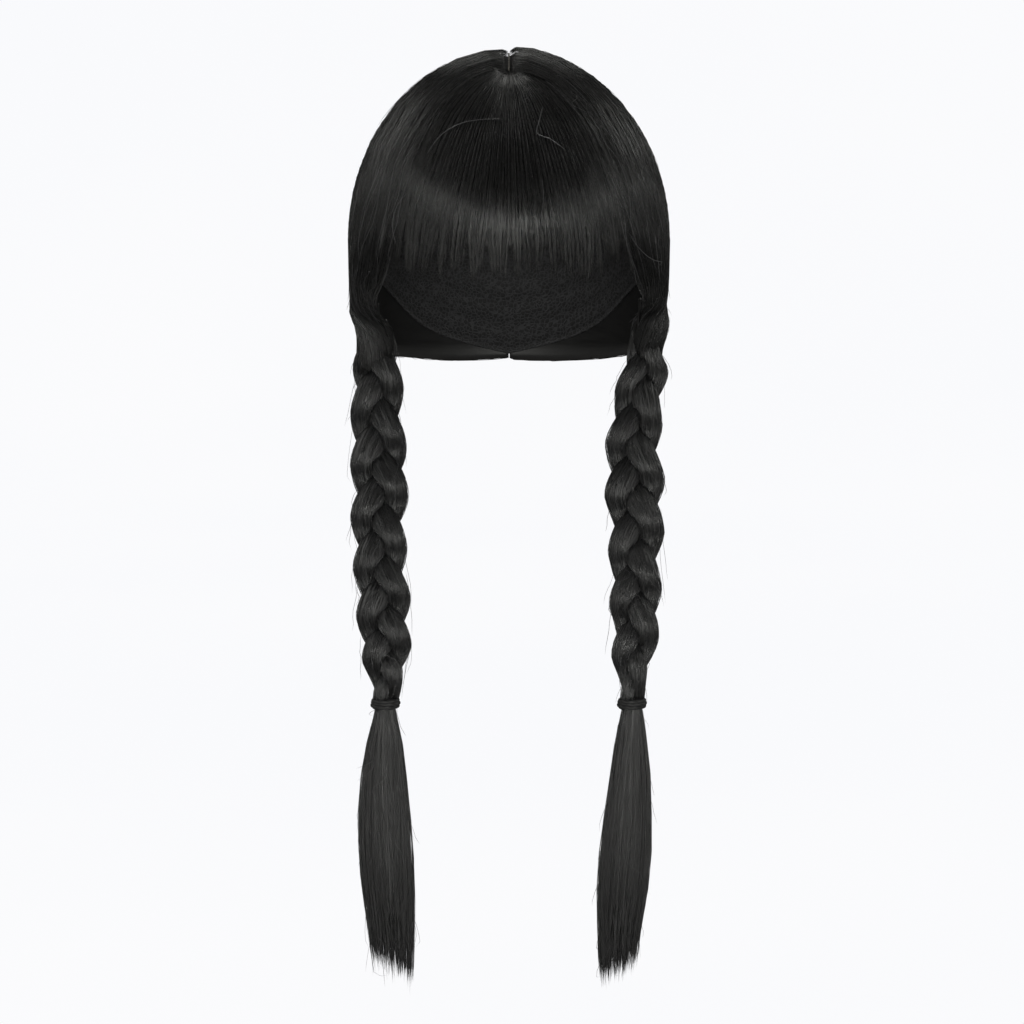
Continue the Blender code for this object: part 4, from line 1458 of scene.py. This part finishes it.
class WIG_OT_stage(bpy.types.Operator):
    """Set up the floor, the light and the camera"""

    bl_idname = "wig.stage"
    bl_label = "Stage"

    def execute(self, context):
        scene = context.scene
        floor = self.make_sweep(cad_low.z - scene.wig_sizes.floor_drop, scene.wig_colours)
        self.add_lights(scene)
        self.add_camera(scene)
        return {"FINISHED"}

    def make_sweep(self, low, colours):
        """A round floor that sweeps up to a wall all round, so that no horizon shows."""
        bundle = Bundle()
        bend = np.linspace(0.15, math.pi / 2, 12)
        flat = np.concatenate([[0.01], np.linspace(0.3, FLOOR_REACH, 9)])
        curved = FLOOR_REACH + SWEEP_RADIUS * np.sin(bend)
        reach = np.concatenate([flat, curved, [FLOOR_REACH + SWEEP_RADIUS]])
        rise = np.concatenate([0 * flat, SWEEP_RADIUS * (1 - np.cos(bend)), [WALL_HEIGHT]])
        around = np.linspace(0, math.tau, 64, endpoint=False)
        points = np.stack([
            reach[:, None] * np.cos(around),
            reach[:, None] * np.sin(around),
            low + rise[:, None] + 0 * around,
        ], axis=-1)
        bundle.add_tube(points, np.zeros_like(points))
        paper = seamless_paper("Matt background paper", colours.floor, colours.floor_light)
        floor = bundle.make("floor", paper)
        floor.visible_diffuse = False
        floor.visible_glossy = False
        floor.visible_shadow = False
        return floor

    def add_camera(self, scene):
        """The camera looks at the middle of the wig from a little above it."""
        data = bpy.data.cameras.new("camera")
        data.sensor_width = 36
        data.lens = CAMERA_LENS
        camera = bpy.data.objects.new("camera", data)
        scene.collection.objects.link(camera)
        rise = CAMERA_ELEVATION
        camera.location = CAMERA_AIM + CAMERA_DISTANCE * np.array([0, -math.cos(rise), math.sin(rise)])
        camera.rotation_euler = (math.pi / 2 - rise, 0, 0)
        scene.camera = camera

    def add_lights(self, scene):
        """Softboxes at the height of the fringe and below, and large ones behind and above."""
        for name, (azimuth, elevation, distance, size, power) in LIGHTS.items():
            data = bpy.data.lights.new(name, "AREA")
            data.shape = "RECTANGLE"
            data.size, data.size_y = size
            data.energy = power
            data.color = linear(LIGHT_COLOUR)
            lamp = bpy.data.objects.new(name, data)
            a, e = math.radians(azimuth), math.radians(elevation)
            lamp.location = LIGHT_AIM + distance * np.array(
                [math.sin(a) * math.cos(e), -math.cos(a) * math.cos(e), math.sin(e)]
            )
            lamp.rotation_euler = (math.pi / 2 - e, 0, a)
            lamp.visible_camera = False
            scene.collection.objects.link(lamp)
        world = bpy.data.worlds.new("dim room")
        world.use_nodes = True
        room = world.node_tree.nodes["Background"]
        room.inputs["Color"].default_value = (*linear(ROOM_COLOUR), 1)
        room.inputs["Strength"].default_value = ROOM_STRENGTH
        scene.world = world
        scene.view_settings.view_transform = "Standard"


class WIG_PT_panel(bpy.types.Panel):
    """Lists the wig's pieces"""

    bl_label = "Pigtail wig"
    bl_idname = "WIG_PT_panel"
    bl_space_type = "VIEW_3D"
    bl_region_type = "UI"
    bl_category = "Wig"

    def draw(self, context):
        """A button for each piece, and the sizes and colours below."""
        layout = self.layout
        for operator in OPERATORS:
            layout.operator(operator.bl_idname)
        for group in (context.scene.wig_sizes, context.scene.wig_colours):
            for name in group.__annotations__:
                layout.prop(group, name)


OPERATORS = (
    WIG_OT_stage,
    WIG_OT_cap,
    WIG_OT_crown_hair,
    WIG_OT_fringe,
    WIG_OT_braids,
    WIG_OT_ties,
    WIG_OT_tails,
    WIG_OT_strays,
)
CLASSES = (WigSizes, WigColours, *OPERATORS, WIG_PT_panel)


def register():
    """Makes the wig's operators, panel and settings known."""
    for kind in CLASSES:
        bpy.utils.register_class(kind)
    bpy.types.Scene.wig_sizes = bpy.props.PointerProperty(type=WigSizes)
    bpy.types.Scene.wig_colours = bpy.props.PointerProperty(type=WigColours)


def unregister():
    """Takes them away again."""
    del bpy.types.Scene.wig_colours
    del bpy.types.Scene.wig_sizes
    for kind in reversed(CLASSES):
        bpy.utils.unregister_class(kind)


def main():
    """Builds every piece in order."""
    register()
    for thing in ("Cube", "Light", "Camera"):
        if thing in bpy.data.objects:
            bpy.data.objects.remove(bpy.data.objects[thing])
    bpy.ops.wig.stage()
    bpy.ops.wig.cap()
    bpy.ops.wig.crown_hair()
    bpy.ops.wig.fringe()
    bpy.ops.wig.braids()
    bpy.ops.wig.ties()
    bpy.ops.wig.tails()
    bpy.ops.wig.strays()


if __name__ == "__main__":
    main()
